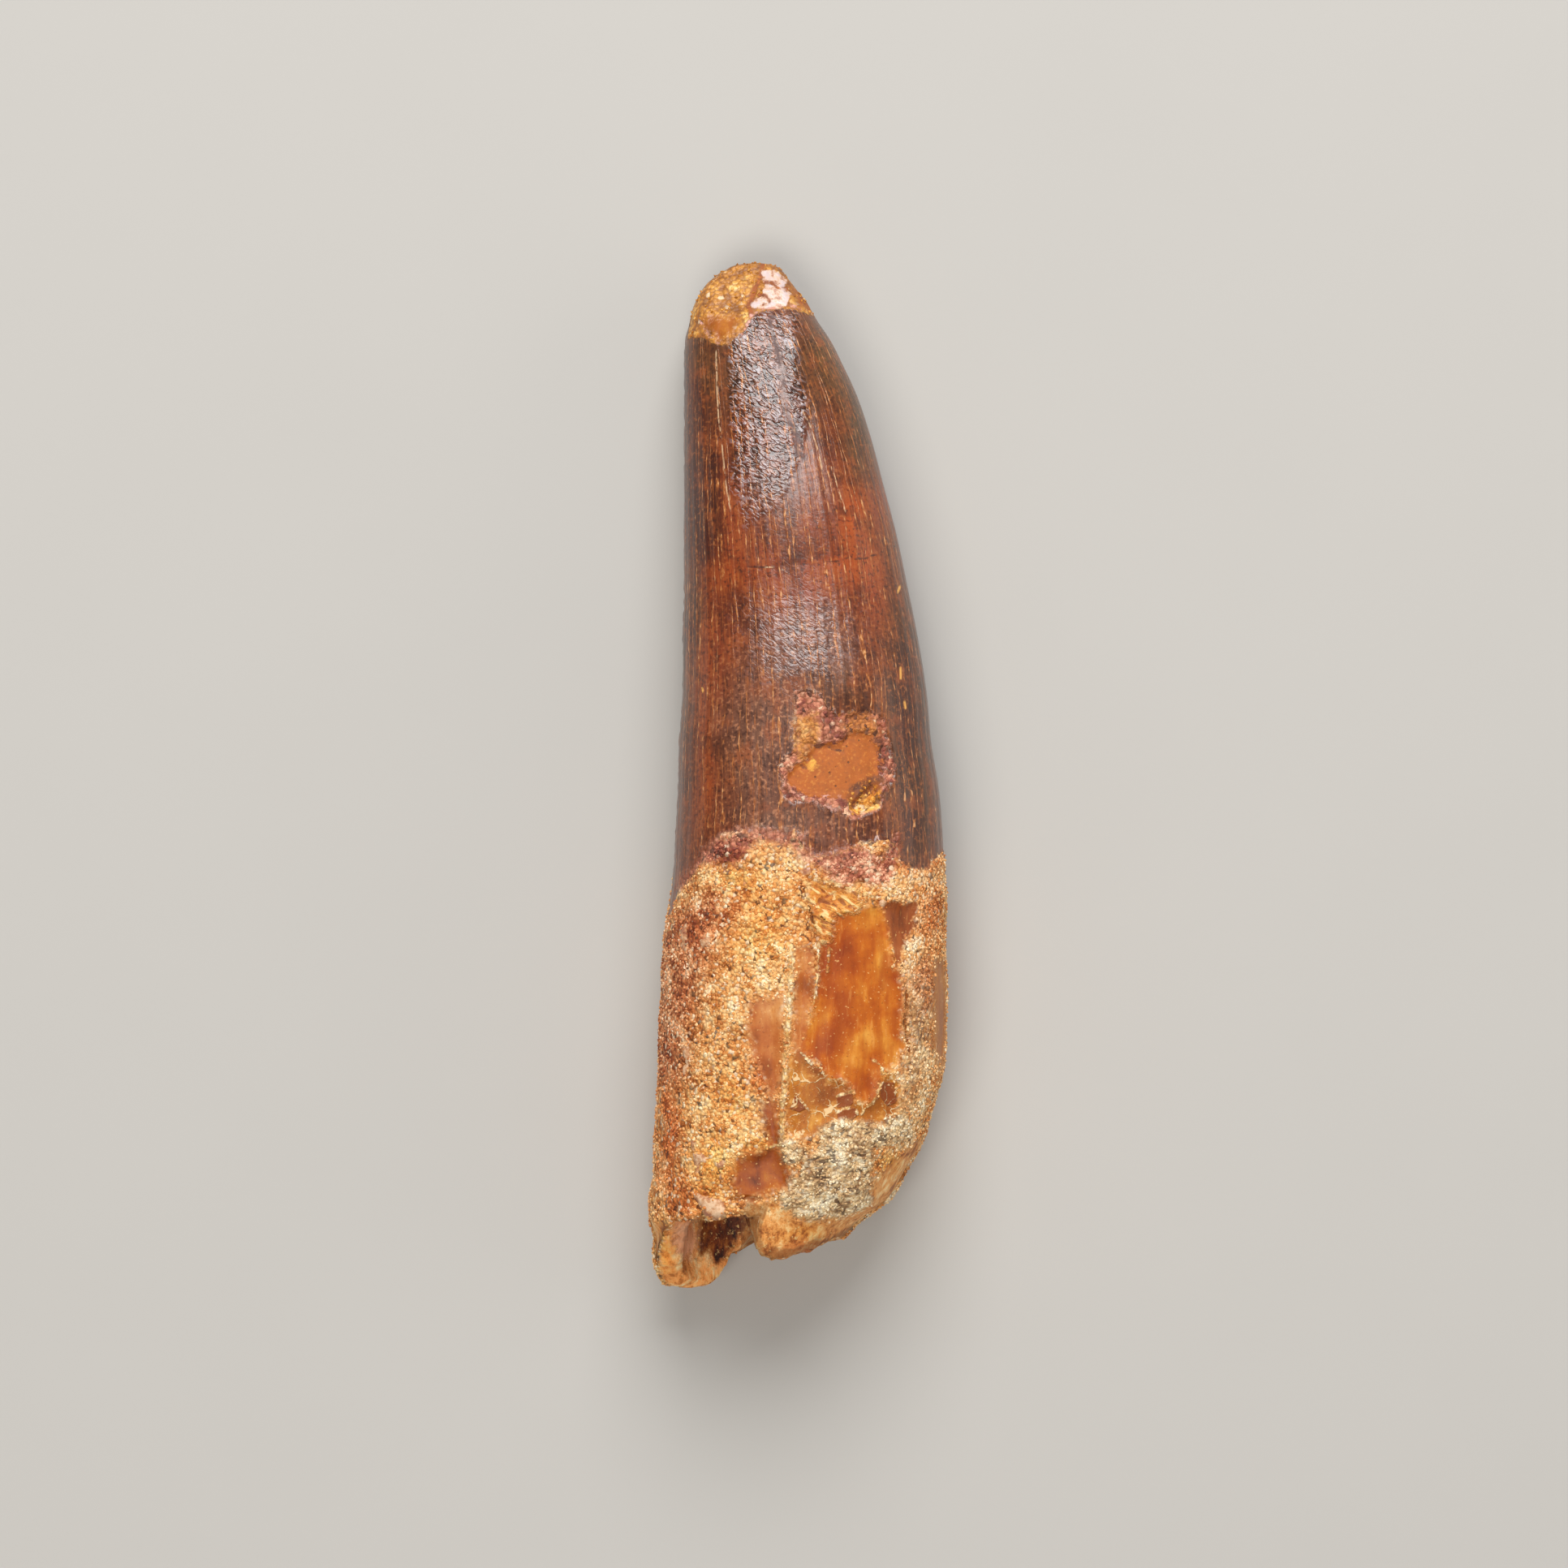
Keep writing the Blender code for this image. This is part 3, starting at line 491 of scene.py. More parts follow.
AMBER = [(0.22, "#82300a"), (0.38, "#a24810"), (0.52, "#ba6016"), (0.66, "#ce802a"), (0.82, "#e2a64a")]
BROWN = [(0.25, "#662804"), (0.44, "#944206"), (0.6, "#ac580c"), (0.78, "#c67e26")]
TAN = [(0.25, "#8e4618"), (0.44, "#b2622a"), (0.6, "#c47c3e"), (0.78, "#dea86c")]
CORNER = [(0.25, "#6a3214"), (0.44, "#8c461e"), (0.6, "#a0582c"), (0.78, "#c0844e")]
# The cavity's dark wall: painted shade
SHADED_WALL_BONE = [(0.25, "#2a0c00"), (0.44, "#5a2402"), (0.6, "#7e3e0a"), (0.78, "#a46624")]
# Tan panel of the cavity, painted lighter as painted light
LIT_TAN_PANEL = [(0.25, "#e08e5c"), (0.44, "#fcae7c"), (0.6, "#ffc294"), (0.78, "#ffd8b4")]
BONE = [(0.26, "#a05824"), (0.44, "#de9048"), (0.6, "#f2ac62"), (0.78, "#fed698")]
# Bone inside the cavity, a lighter copy of BONE as painted light
LIT_INNER_BONE = [(0.26, "#c07030"), (0.44, "#fca456"), (0.6, "#ffb86c"), (0.78, "#ffd89c")]
SHARD = [(0.25, "#7a3e14"), (0.44, "#a05a1c"), (0.6, "#b87024"), (0.78, "#d8983c")]
TIP_SMOOTH = [(0.25, "#7c3c04"), (0.44, "#965004"), (0.6, "#a65c08"), (0.78, "#c47e1c")]
MARGIN = [(0.25, "#84481a"), (0.44, "#ac682c"), (0.6, "#c07e3c"), (0.78, "#d8a460")]

# Node kinds that the materials use most
NOISE = "ShaderNodeTexNoise"
CELLS = "ShaderNodeTexVoronoi"
MAPPING = "ShaderNodeMapping"
MATH = "ShaderNodeMath"
VECTOR_MATH = "ShaderNodeVectorMath"
COLOUR_RAMP = "ShaderNodeValToRGB"
STORED = "ShaderNodeAttribute"
RANDOM = "FunctionNodeRandomValue"


def linear(hex_colour):
    """Turns an sRGB hex colour to the linear values that Blender uses."""
    parts = [int(hex_colour[i:i + 2], 16) / 255 for i in (1, 3, 5)]
    return [v / 12.92 if v <= 0.04045 else ((v + 0.055) / 1.055) ** 2.4 for v in parts]


def hex_property(name, description, colour):
    """A colour setting whose default is an sRGB hex value."""
    return FloatVectorProperty(
        name=name, description=description, subtype="COLOR", size=3, min=0.0, max=1.0, default=linear(colour)
    )


def length_property(name, description, size):
    """A size setting in metres."""
    return FloatProperty(name=name, description=description, default=size, unit="LENGTH")


class FossilToothSizes(bpy.types.PropertyGroup):
    """Sizes of the tooth's fine relief and of its grains."""

    flute_depth: length_property("Flute depth", "Depth of the lengthwise flutes of the enamel", 0.000012)
    crust_height: length_property("Crust height", "How far the sand crust stands on the root", 0.00035)
    crust_roughness: length_property("Crust lumps", "Height of the lumps of the sand crust", 0.00016)
    chip_depth: length_property("Chip depth", "Depth of the chip in the enamel", 0.00055)
    pit_depth: length_property("Pit depth", "Depth of the pit beside the filler", 0.0013)
    window_depth: length_property("Window depth", "Depth of the smooth windows below the crust", 0.00025)
    grain_size: length_property("Grain size", "Width of a coarse sand grain", 0.00027)
    grain_cover: FloatProperty(
        name="Grains per square millimetre", description="How closely the coarse grains lie",
        default=6.5, min=0.0, max=20.0,
    )
    grain_seed: IntProperty(name="Grain seed", description="Seed of the grains' places", default=11)


class FossilToothColours(bpy.types.PropertyGroup):
    """Colours of the tooth and of the stage."""

    chestnut: hex_property("Chestnut enamel", "Main colour of the crown", "#6a3012")
    olive: hex_property("Olive enamel", "Enamel near the tip and along the margins", "#5a4022")
    red: hex_property("Red enamel", "Enamel across the middle of the crown", "#8c3a14")
    slate: hex_property("Grey enamel", "Dark enamel near the chip", "#4e3a26")
    vein: hex_property("Veins", "Thin lines that run along the enamel", "#d49c68")
    filler: hex_property("Filler", "Smooth putty in the chip", "#a65406")
    pale_stone: hex_property("Pale flakes", "Pale flakes of the tip and of the root", "#dcb79c")
    floor: hex_property("Floor", "Plain pale floor", "#b9b6b1")


def settings():
    """The scene's sizes and colours for the tooth."""
    scene = bpy.context.scene
    return scene.fossil_tooth_sizes, scene.fossil_tooth_colours


def along(table, y, column):
    """A smooth curve through one column of a table, whose first column runs one way along the tooth."""
    ordered = sorted(table)
    places = np.array([row[0] for row in ordered])
    values = np.array([row[column] for row in ordered])
    slopes = np.gradient(values, places)
    k = np.clip(np.searchsorted(places, y) - 1, 0, len(places) - 2)
    step = places[k + 1] - places[k]
    t = np.clip((y - places[k]) / step, 0.0, 1.0)
    limit = 2.5 * np.abs(values[k + 1] - values[k]) / step + 1e-9
    start = np.clip(slopes[k], -limit, limit) * step
    end = np.clip(slopes[k + 1], -limit, limit) * step
    return (
        values[k] * (2 * t**3 - 3 * t**2 + 1)
        + start * (t**3 - 2 * t**2 + t)
        + values[k + 1] * (3 * t**2 - 2 * t**3)
        + end * (t**3 - t**2)
    )


def middle_height(y):
    """Height of the tooth's middle at each place along it."""
    return (along(PROFILE, y, 1) + along(PROFILE, y, 2)) / 2


def ramp(value, start, end):
    """0 before start, 1 after end, and a smooth rise between them."""
    t = np.clip((value - start) / (end - start), 0.0, 1.0)
    return t * t * (3 - 2 * t)


def segment_distance(line, x, y):
    """Distance from each point to the nearest of a line's straight pieces."""
    nearest = np.full(x.shape, 1e9)
    for (ax, ay), (bx, by) in zip(line[:-1], line[1:]):
        t = ((x - ax) * (bx - ax) + (y - ay) * (by - ay)) / ((bx - ax) ** 2 + (by - ay) ** 2)
        t = np.clip(t, 0.0, 1.0)
        nearest = np.minimum(nearest, np.hypot(x - ax - t * (bx - ax), y - ay - t * (by - ay)))
    return nearest


def inside_distance(outline, x, y):
    """Distance from each point to a closed outline, positive inside it and negative outside."""
    closed = outline + outline[:1]
    inside = np.zeros(x.shape, bool)
    for (ax, ay), (bx, by) in zip(closed[:-1], closed[1:]):
        crosses = (ay > y) != (by > y)
        side = ax + (y - ay) * (bx - ax) / (by - ay if by != ay else 1.0)
        inside ^= crosses & (x < side)
    nearest = segment_distance(closed, x, y)
    return np.where(inside, nearest, -nearest)


def soft_noise(points, size, seed):
    """Smooth random values from -1 to 1 that change over about size millimetres."""
    values = np.random.default_rng(seed).uniform(-1, 1, 4096)
    place = points / size + 1000.0
    cell = np.floor(place).astype(np.int64)
    t = place - cell
    t = t * t * (3 - 2 * t)
    total = np.zeros(points.shape[:-1])
    for corner in np.ndindex(2, 2, 2):
        k = cell + corner
        index = (k[..., 0] * 73856093 ^ k[..., 1] * 19349663 ^ k[..., 2] * 83492791) % 4096
        total += values[index] * np.prod(np.where(corner, t, 1 - t), axis=-1)
    return total


def column_angles():
    """Angles round the tooth in degrees, close together where the surface faces the camera."""
    fine = np.linspace(-20, 340, 3601)
    spacing = np.interp(fine, [row[0] for row in SPACING_BY_ANGLE], [row[1] for row in SPACING_BY_ANGLE])
    count = np.concatenate([[0], np.cumsum(0.1 / spacing[:-1])])
    columns = int(count[-1])
    return np.interp(np.arange(columns) * count[-1] / columns, count, fine)


def section(y, degrees, half_width, half_height, centre_x, centre_z):
    """Points on an oval section, which is squarer than an ellipse."""
    angle = np.radians(degrees)
    across = np.abs(np.cos(angle) / half_width) ** SECTION_POWER
    upright = np.abs(np.sin(angle) / half_height) ** SECTION_POWER
    reach = (across + upright) ** (-1 / SECTION_POWER)
    return np.stack([centre_x + reach * np.cos(angle), y, centre_z + reach * np.sin(angle)], axis=-1)


def outer_surface(y, degrees):
    """Points on the smooth outside of the tooth."""
    left = along(PLAN, y, 1)
    right = along(PLAN, y, 2)
    top = along(PROFILE, y, 1)
    bottom = along(PROFILE, y, 2)
    return section(y, degrees, (right - left) / 2, (top - bottom) / 2, (right + left) / 2, (top + bottom) / 2)


def cavity_surface(y, degrees):
    """Points on the wall of the pulp cavity, which leans to the thin left side of the root."""
    left = along(PLAN, y, 1)
    middle_z = middle_height(y)
    widest = max(row[1] for row in CAVITY)
    half_width = along(CAVITY, y, 1)
    half_height = along(CAVITY, y, 2)
    return section(y, degrees, half_width, half_height, left + WALL + widest, middle_z + CAVITY_LIFT)


def surface_grid():
    """The smooth tooth as a grid of points, rows from the tip over the outside and into the cavity.

    Gives the points, the column angles, and for each row how far it lies into the cavity, from 0 on the
    outside to 1 at the cavity's end.
    """
    degrees = column_angles()
    angles = np.array([row[0] for row in ROOT_END], float)
    ends = np.interp(degrees, angles, [row[1] for row in ROOT_END], period=360)
    circle = np.stack([np.cos(np.radians(degrees)), np.sin(np.radians(degrees)), 0 * degrees], axis=-1)
    ends = ends + 0.28 * soft_noise(circle * 9, 0.9, 21) + 0.16 * soft_noise(circle * 9, 0.4, 22)
    tip = TIP_Y - (TIP_Y - TIP_ROWS_END_Y) * np.linspace(0, 1, TIP_ROWS, endpoint=False)[1:] ** 2
    body = np.linspace(TIP_ROWS_END_Y, -LENGTH / 2, BODY_ROWS)
    rows = []
    for y in np.concatenate([tip, body]):
        # Rows near the root are stretched or squeezed so that the last one follows the broken edge
        share = max(0.0, (STRETCH_START_Y - y) / (STRETCH_START_Y + LENGTH / 2))
        rows.append(outer_surface(y + share * (ends + LENGTH / 2), degrees))
    outer_rows = len(rows)
    rim = ends + RIM_HEIGHT
    inner_rim = cavity_surface(rim, degrees)
    for share in np.linspace(0, 1, RIM_ROWS, endpoint=False)[1:]:
        bulge = np.array([0.0, RIM_HEIGHT * 4 * share * (1 - share), 0.0])
        rows.append(rows[outer_rows - 1] * (1 - share) + inner_rim * share - bulge)
    for share in np.linspace(0, 1, CAVITY_ROWS, endpoint=False):
        rows.append(cavity_surface(rim + (CAVITY_END_Y - rim) * share, degrees))
    inward = np.zeros(len(rows))
    inward[outer_rows:] = np.linspace(0, 1, len(rows) - outer_rows + 1)[1:]
    return np.array(rows), degrees, inward


def grid_normals(grid):
    """Outward directions of a grid that closes on itself from side to side."""
    across = np.roll(grid, -1, axis=1) - np.roll(grid, 1, axis=1)
    down = np.gradient(grid, axis=0)
    normals = np.cross(across, down)
    return normals / np.maximum(np.linalg.norm(normals, axis=-1, keepdims=True), 1e-9)


def soft_spots(spots, x, y):
    """Sum of soft round spots, kept between 0 and 1."""
    total = np.zeros(x.shape)
    for middle_x, middle_y, reach_x, reach_y, strength in spots:
        far = ((x - middle_x) / reach_x) ** 2 + ((y - middle_y) / reach_y) ** 2
        total += strength * np.exp(-far)
    return np.clip(total, 0, 1)


def zone_distances(grid, inward):
    """Distances in millimetres to the outlines of the tooth's zones, which relief and colour both read."""
    x, y, z = grid[..., 0], grid[..., 1], grid[..., 2]
    middle_z = middle_height(y)
    upper = z > middle_z
    outside = (inward == 0)[:, None]
    edge_y = np.interp(x, CRUST_EDGE[::2], CRUST_EDGE[1::2])
    # Over the margins the edge runs on to the hidden side
    blend = ramp((z - middle_z) / middle_z, -0.25, 0.1)
    edge_y = edge_y * blend + (UNDER_EDGE_Y + 1.2 * soft_noise(grid * [1, 0, 1], 3.0, 31)) * (1 - blend)
    zones = {"crust": np.where(outside, edge_y - y, DEEP)}
    for outlines, where in (
        (OUTLINES, upper & outside), (HOLLOW_OUTLINES, ~outside), (HIDDEN_OUTLINES, ~upper & outside),
    ):
        for name, runs in outlines.items():
            deepest = np.max([inside_distance(rows_of(run, 2), x, y) for run in runs], axis=0)
            zones[name] = np.where(where, deepest, -FAR)
    for name, runs in LINES.items():
        nearest = np.min([segment_distance(rows_of(run, 2), x, y) for run in runs], axis=0)
        zones[name] = np.where(upper, nearest, FAR)

    over_foot = z - middle_z - TIP_BREAK_SLANT * (TIP_BREAK_FOOT_Y - y)
    stump = np.where(outside, y - TIP_STUMP_Y, -FAR)
    zones["break"] = np.maximum(np.minimum(zones["break"], over_foot), stump)
    over_margin = z - middle_z - MARGIN_RISE - MARGIN_CURVE * (y - MARGIN_MIDDLE_Y) ** 2
    zones["margin"] = np.minimum(zones["margin"], over_margin)
    # How far each place is from the root's broken end, along which painted shade darkens the broken edge.
    # Inside the cavity the wall's right part takes this painted shade in patches, and its left wall has none
    # of its own.
    end_y = y[np.sum(inward == 0) - 1]
    zones["rim"] = np.where(outside, y - end_y, np.where(x > SHADED_WALL_EDGE_X, 0.0, DEEP))
    dot_x, dot_y, dot_radius = YELLOW_DOT
    zones["dot"] = np.where(upper, dot_radius - np.hypot(x - dot_x, y - dot_y), -FAR)
    return zones


def wrinkled_share(grid, zones):
    """How wrinkled and glossy the enamel is, from 0 to 1."""
    ragged = soft_noise(grid * [1.0, 0.4, 1.0], 1.3, 72)
    first = ramp(zones["wrinkled"] + 0.5 * ragged, -0.2, 0.5) * (1 - ramp(grid[..., 1], 27.0, 19.0) * 0.55)
    second = 0.44 * ramp(zones["wrinkled_2"] + 0.8 * ragged, -3.0, 2.2)
    return np.maximum(first, second) * (0.3 + 0.7 * ramp(zones["stripe"] + 0.3 * ragged, 0.1, 0.5))


def bare_distance(zones):
    """Distance into the nearest bare place of the root, where no sand lies."""
    bare = np.maximum.reduce([zones[part] for part in BARE_ZONES])
    return np.minimum(bare, -zones["grey"])


def relief(grid, zones, degrees):
    """How far the outside stands out from the smooth tooth, in millimetres."""
    sizes, _ = settings()
    flute = sizes.flute_depth / MM
    crust_height = sizes.crust_height / MM
    rough = sizes.crust_roughness / MM
    chip_depth = sizes.chip_depth / MM
    pit_depth = sizes.pit_depth / MM
    window_depth = sizes.window_depth / MM
    x, y, z = grid[..., 0], grid[..., 1], grid[..., 2]
    middle_z = middle_height(y)
    upper = z > middle_z
    face = ramp(np.abs(z - middle_z) / middle_z, 0.45, 0.9)
    ragged = 0.35 * soft_noise(grid, 0.7, 41) + 0.15 * soft_noise(grid, 0.3, 42)
    crust = ramp(zones["crust"] + ragged, -0.15, 0.35)
    windows = bare_distance(zones)
    window = ramp(windows + 0.6 * ragged, -0.4, 0.5) * crust
    sandy = crust * (1 - window)

    # Lengthwise flutes and fine wrinkles of the enamel
    angle = np.radians(degrees)[None, :] + 0.02 * soft_noise(grid, 5.0, 43)
    coarse, fine = FLUTES_AROUND
    flutes = np.cos(angle * coarse) + 0.6 * np.cos(angle * fine + 1.3)
    out = (1 - crust) * flute * flutes * (1 - 0.85 * ramp(y, 18.0, 34.0))
    # A faint swell along the crown, whose slopes catch the light in two places
    swell = np.sin(2 * np.pi * (10.0 - np.minimum(y, 27.0)) / 15.0) * ramp(y, 3.0, 8.0)
    swell = swell - 0.12 * np.maximum(y - 27.0, 0.0)
    out = out + 0.13 * swell * face * upper * (1 - ramp(zones["chip"], -1.5, 0.0))
    # A flatter facet below the broken tip, which ends at a low ridge on its right
    facet = ramp(x, -1.9, -0.1) * (1 - ramp(x, 0.0, 1.8)) * ramp(y, 28.5, 32.0) * (1 - ramp(y, 36.5, 38.0))
    out = out + 0.22 * facet * upper
    folds = 0.005 + 0.02 * wrinkled_share(grid, zones)
    out = out + (1 - crust) * folds * soft_noise(grid, 0.5, 44)

    # Sand crust in lumps of several sizes
    out = out + crust * crust_height * (0.35 + 0.65 * face)
    lumps = soft_noise(grid, 2.4, 45) + 0.7 * soft_noise(grid, 1.1, 46) + 0.45 * soft_noise(grid, 0.55, 47)
    out = out + sandy * rough * lumps * (0.5 + 0.5 * face)
    clumps = 0.12 * (1 + soft_noise(grid * [0.4, 1.6, 1.0], 0.6, 48))
    out = out + sandy * ramp(zones["grey"], -0.2, 0.4) * clumps

    # Windows, ridges, cracks and ledges of the root
    out = out - window * window_depth * ramp(windows, -0.5, 1.2)
    out = out + window * 0.05 * soft_noise(grid * [1.0, 0.25, 1.0], 1.2, 49)
    for name, height, wobble, near, far in (
        ("ridge", 0.22, 0.2, 0.05, 0.4),
        ("crack", 0.08, 0.0, 0.05, 0.25),
        ("thin_ridge", 0.1, 0.1, 0.03, 0.22),
        ("dark_line", -0.12, 0.0, 0.03, 0.2),
    ):
        out = out + crust * height * (1 - ramp(zones[name] + wobble * ragged, near, far))
    out = out - 0.35 * (1 - ramp(zones["ledge"], 0.05, 0.3))
    out = out + 0.22 * ramp(zones["fleck"], -0.05, 0.2) * crust

    # Chip with its raised rim, filler and pit
    chip = ramp(zones["chip"] + 0.5 * ragged, -0.1, 0.35)
    filler = ramp(zones["filler"], -0.05, 0.2)
    rim = chip * (1 - filler)
    out = out - chip * chip_depth * (0.35 + 0.65 * filler)
    out = out + rim * 0.2 * (soft_noise(grid, 0.6, 50) + 0.6 * soft_noise(grid, 0.3, 51))
    out = out + filler * 0.02 * soft_noise(grid, 0.8, 52)
    for name, height, near, far in (("lip", 0.08, 0.05, 0.25), ("chip_crack", -0.14, 0.05, 0.22)):
        out = out + height * (1 - ramp(zones[name] + 0.1 * ragged, near, far))
    out = out - (pit_depth - chip_depth) * ramp(zones["pit"] + 0.4 * ragged, -0.1, 0.6)

    # Crack across the crown
    out = out - 0.02 * (1 - ramp(zones["cross_crack"] + 0.1 * ragged, 0.02, 0.14))

    # Beaded edge along the left margin of the crown
    left_edge = np.exp(-((np.degrees(angle) - 180) / 5) ** 2)
    out = out + (1 - crust) * left_edge * 0.07 * soft_noise(grid, 0.5, 53)
    return out * ramp(TIP_Y - y, 0.1, 1.2)


def break_tip(grid, zones):
    """Cuts the upper left of the tip along a plane, and leaves the break lumpy."""
    x, y, z = grid[..., 0], grid[..., 1], grid[..., 2]
    px, py, pz = TIP_BREAK_POINT
    nx, ny, nz = TIP_BREAK_NORMAL
    plane = pz - (nx * (x - px) + ny * (y - py)) / nz
    lumpy = 0.16 * soft_noise(grid, 1.3, 61) + 0.1 * soft_noise(grid, 0.55, 62)
    lumpy = lumpy + 0.05 * soft_noise(grid, 0.28, 63)
    smooth = ramp(zones["smooth_break"], -0.2, 0.4)
    broken = ramp(zones["break"], -0.1, 0.3) * ramp(z, 2.5, 4.5)
    cut = np.minimum(z, np.maximum(plane, 3.0)) + broken * lumpy * (1 - 0.8 * smooth)
    grid[..., 2] = np.where((zones["break"] > -1.0) & (z > 3.5), cut, z)
    return grid


def from_view(grid):
    """Real places of points that are drawn as they look from above: low ones spread, high ones draw in."""
    spread = (VIEW_DISTANCE + OUTLINE_HEIGHT - grid[..., 2:]) / VIEW_DISTANCE
    middle = np.array([VIEW_X, VIEW_Y])
    return np.concatenate([middle + (grid[..., :2] - middle) * spread, grid[..., 2:]], axis=-1)


def tone_fields(grid, zones, inward):
    """Soft patches of tone in the enamel, stain spots with painted highlight and painted shade among them on
    the crown, and how much sand each place holds.
    """
    x, y, z = grid[..., 0], grid[..., 1], grid[..., 2]
    open_air = (inward == 0)[:, None] * ramp(z, 0.8, 1.4)
    wander = soft_noise(grid * [1.0, 0.3, 1.0], 1.2, 71)
    fields = {"polish": wrinkled_share(grid, zones)}
    for name, run in TONE_SPOTS.items():
        fields[name] = soft_spots(rows_of(run, 5), x + 0.5 * wander, y + 1.5 * wander)
    for name, run in STAINS_AND_PAINTED_LIGHT_SPOTS.items():
        fields[name] = soft_spots(rows_of(run, 5), x + 0.4 * wander, y + 0.6 * wander) * (z > STAIN_LOW_Z)
    bare = np.minimum(bare_distance(zones), zones["ridge"] - 0.35)
    bare = np.maximum(bare, zones["fleck"])
    patchy = ramp(soft_noise(grid, 1.6, 73) + 0.5 * soft_noise(grid, 0.7, 74), -0.7, 0.3)
    sand = ramp(zones["crust"], 0.0, 0.3) * (1 - ramp(bare, -0.35, 0.35))
    fields["sand_cover"] = open_air * sand * np.maximum(0.25 + 0.75 * patchy, ramp(zones["grey"], -0.2, 0.2))
    sugar = ramp(zones["break"], 0.0, 0.2) * (1 - ramp(zones["smooth_break"], -0.1, 0.1))
    sugar = 0.12 * sugar * (1 - ramp(zones["flake"], -0.2, 0.0))
    sugar = np.maximum(sugar, 0.4 * ramp(zones["pit"], 0.0, 0.2))
    fields["sugar_cover"] = open_air * sugar
    return fields


def grid_mesh(name, grid):
    """A closed mesh from a grid of points in millimetres, with a point at the tip and one in the cavity."""
    rows, columns = grid.shape[:2]
    points = grid.reshape(-1, 3)
    tip = from_view(np.array([[(PLAN[0][1] + PLAN[0][2]) / 2, TIP_Y, (PROFILE[0][1] + PROFILE[0][2]) / 2]]))
    end = grid[-1].mean(axis=0)[None] + [[0.0, CAVITY_TIP, 0.0]]
    points = np.concatenate([points, tip, end]) * MM
    index = np.arange(rows * columns).reshape(rows, columns)
    after = np.roll(index, -1, axis=1)
    quads = np.stack([index[:-1], after[:-1], after[1:], index[1:]], axis=-1).reshape(-1, 4)
    tip_faces = [(rows * columns, b, a) for a, b in zip(index[0], after[0])]
    end_faces = [(a, b, rows * columns + 1) for a, b in zip(index[-1], after[-1])]
    mesh = bpy.data.meshes.new(name)
    mesh.from_pydata(points.tolist(), [], quads.tolist() + tip_faces + end_faces)
    mesh.shade_smooth()
    return mesh


def store(mesh, name, values):
    """Writes one number or one vector for each grid point, and repeats the end rows at the two poles."""
    kind = "FLOAT_VECTOR" if values.ndim == 3 else "FLOAT"
    field = "vector" if values.ndim == 3 else "value"
    flat = values.reshape(-1, values.shape[-1]) if values.ndim == 3 else values.reshape(-1, 1)
    poles = np.stack([values[0].mean(axis=0), values[-1].mean(axis=0)]).reshape(2, -1)
    made = mesh.attributes.new(name, kind, "POINT")
    made.data.foreach_set(field, np.concatenate([flat, poles]).astype(np.float32).ravel())


def add_node(tree, kind, inputs=None, output=0, stops=None, **options):
    """Adds one node, sets its options and colour stops, sets or links its inputs, and gives an output."""
    made = tree.nodes.new(kind)
    for name, value in options.items():
        setattr(made, name, value)
    if stops:
        band = made.color_ramp.elements
        band.remove(band[1])
        band[0].position = stops[0][0]
        band[0].color = shade(stops[0][1])
        for place, colour in stops[1:]:
            band.new(place).color = shade(colour)
    for name, value in (inputs or {}).items():
        if isinstance(value, bpy.types.NodeSocket):
            tree.links.new(value, made.inputs[name])
        else:
            made.inputs[name].default_value = value
    return made if output is None else made.outputs[output]


def shade(colour):
    """A socket's colour from an sRGB hex value or from a colour setting."""
    return (*(linear(colour) if isinstance(colour, str) else colour), 1.0)


class Finish:
    """What one kind of surface gives the shader: its colour, its roughness and its fine height in mm."""

    def __init__(self, colour, roughness, height):
        self.colour = colour
        self.roughness = roughness
        self.height = height


def painted(tree, ground, layers, blend="MIX"):
    """A ground colour with further colours laid over it, each through its own mask."""
    for mask, colour in layers:
        under, over = (c if isinstance(c, bpy.types.NodeSocket) else shade(c) for c in (ground, colour))
        ground = add_node(
            tree, "ShaderNodeMix", {0: mask, 6: under, 7: over}, output=2, data_type="RGBA", blend_type=blend
        )
    return ground


def tinted(tree, ground, layers):
    """A ground colour with others laid over it: pattern, where its mask starts and ends, strength, colour."""
    return painted(tree, ground, [
        (between(tree, pattern, start, end, top), colour) for pattern, start, end, top, colour in layers
    ])


def root_toned(tree, colour):
    """Makes a colour of the root redder or more golden where the tooth is so."""
    stains = [(stored(tree, "ember"), "#f0c4b0"), (stored(tree, "gold"), "#fff0b4")]
    return painted(tree, colour, stains, "MULTIPLY")


def lay_over(tree, below, above, mask):
    """One finish laid over another through a mask."""
    return Finish(
        painted(tree, below.colour, [(mask, above.colour)]),
        add_node(tree, "ShaderNodeMix", {0: mask, 2: below.roughness, 3: above.roughness}),
        add_node(tree, "ShaderNodeMix", {0: mask, 2: below.height, 3: above.height}),
    )


def fine_noise(tree, place, size_mm, detail, roughness=0.5, distortion=0.0, output=0):
    """Smooth noise in patches of about size_mm, over places in metres."""
    form = {"Scale": 1000 / size_mm, "Detail": detail, "Roughness": roughness, "Distortion": distortion}
    return add_node(tree, NOISE, {"Vector": place, **form}, output=output)


def bent_places(tree, place, size_mm, reach_mm):
    """Places moved by noise, so that cells drawn on them have no straight edges."""
    sway = fine_noise(tree, place, size_mm, 2.0, output=1)
    return add_node(tree, VECTOR_MATH, {0: sway, 1: (reach_mm * MM,) * 3, 2: place}, operation="MULTIPLY_ADD")


def weighed(tree, parts):
    """The sum of several values, each times its own weight."""
    total = 0.0
    for value, weight in parts:
        total = add_node(tree, MATH, {0: value, 1: weight, 2: total}, operation="MULTIPLY_ADD")
    return total


def stored(tree, part):
    """One measure that the mesh holds for its materials, such as a zone's distance in millimetres."""
    layer = next(name for name, parts in MEASURE_LAYERS.items() if part in parts)
    vector = add_node(tree, STORED, output="Vector", attribute_name=layer)
    return add_node(tree, "ShaderNodeSeparateXYZ", {0: vector}, output=MEASURE_LAYERS[layer].index(part))


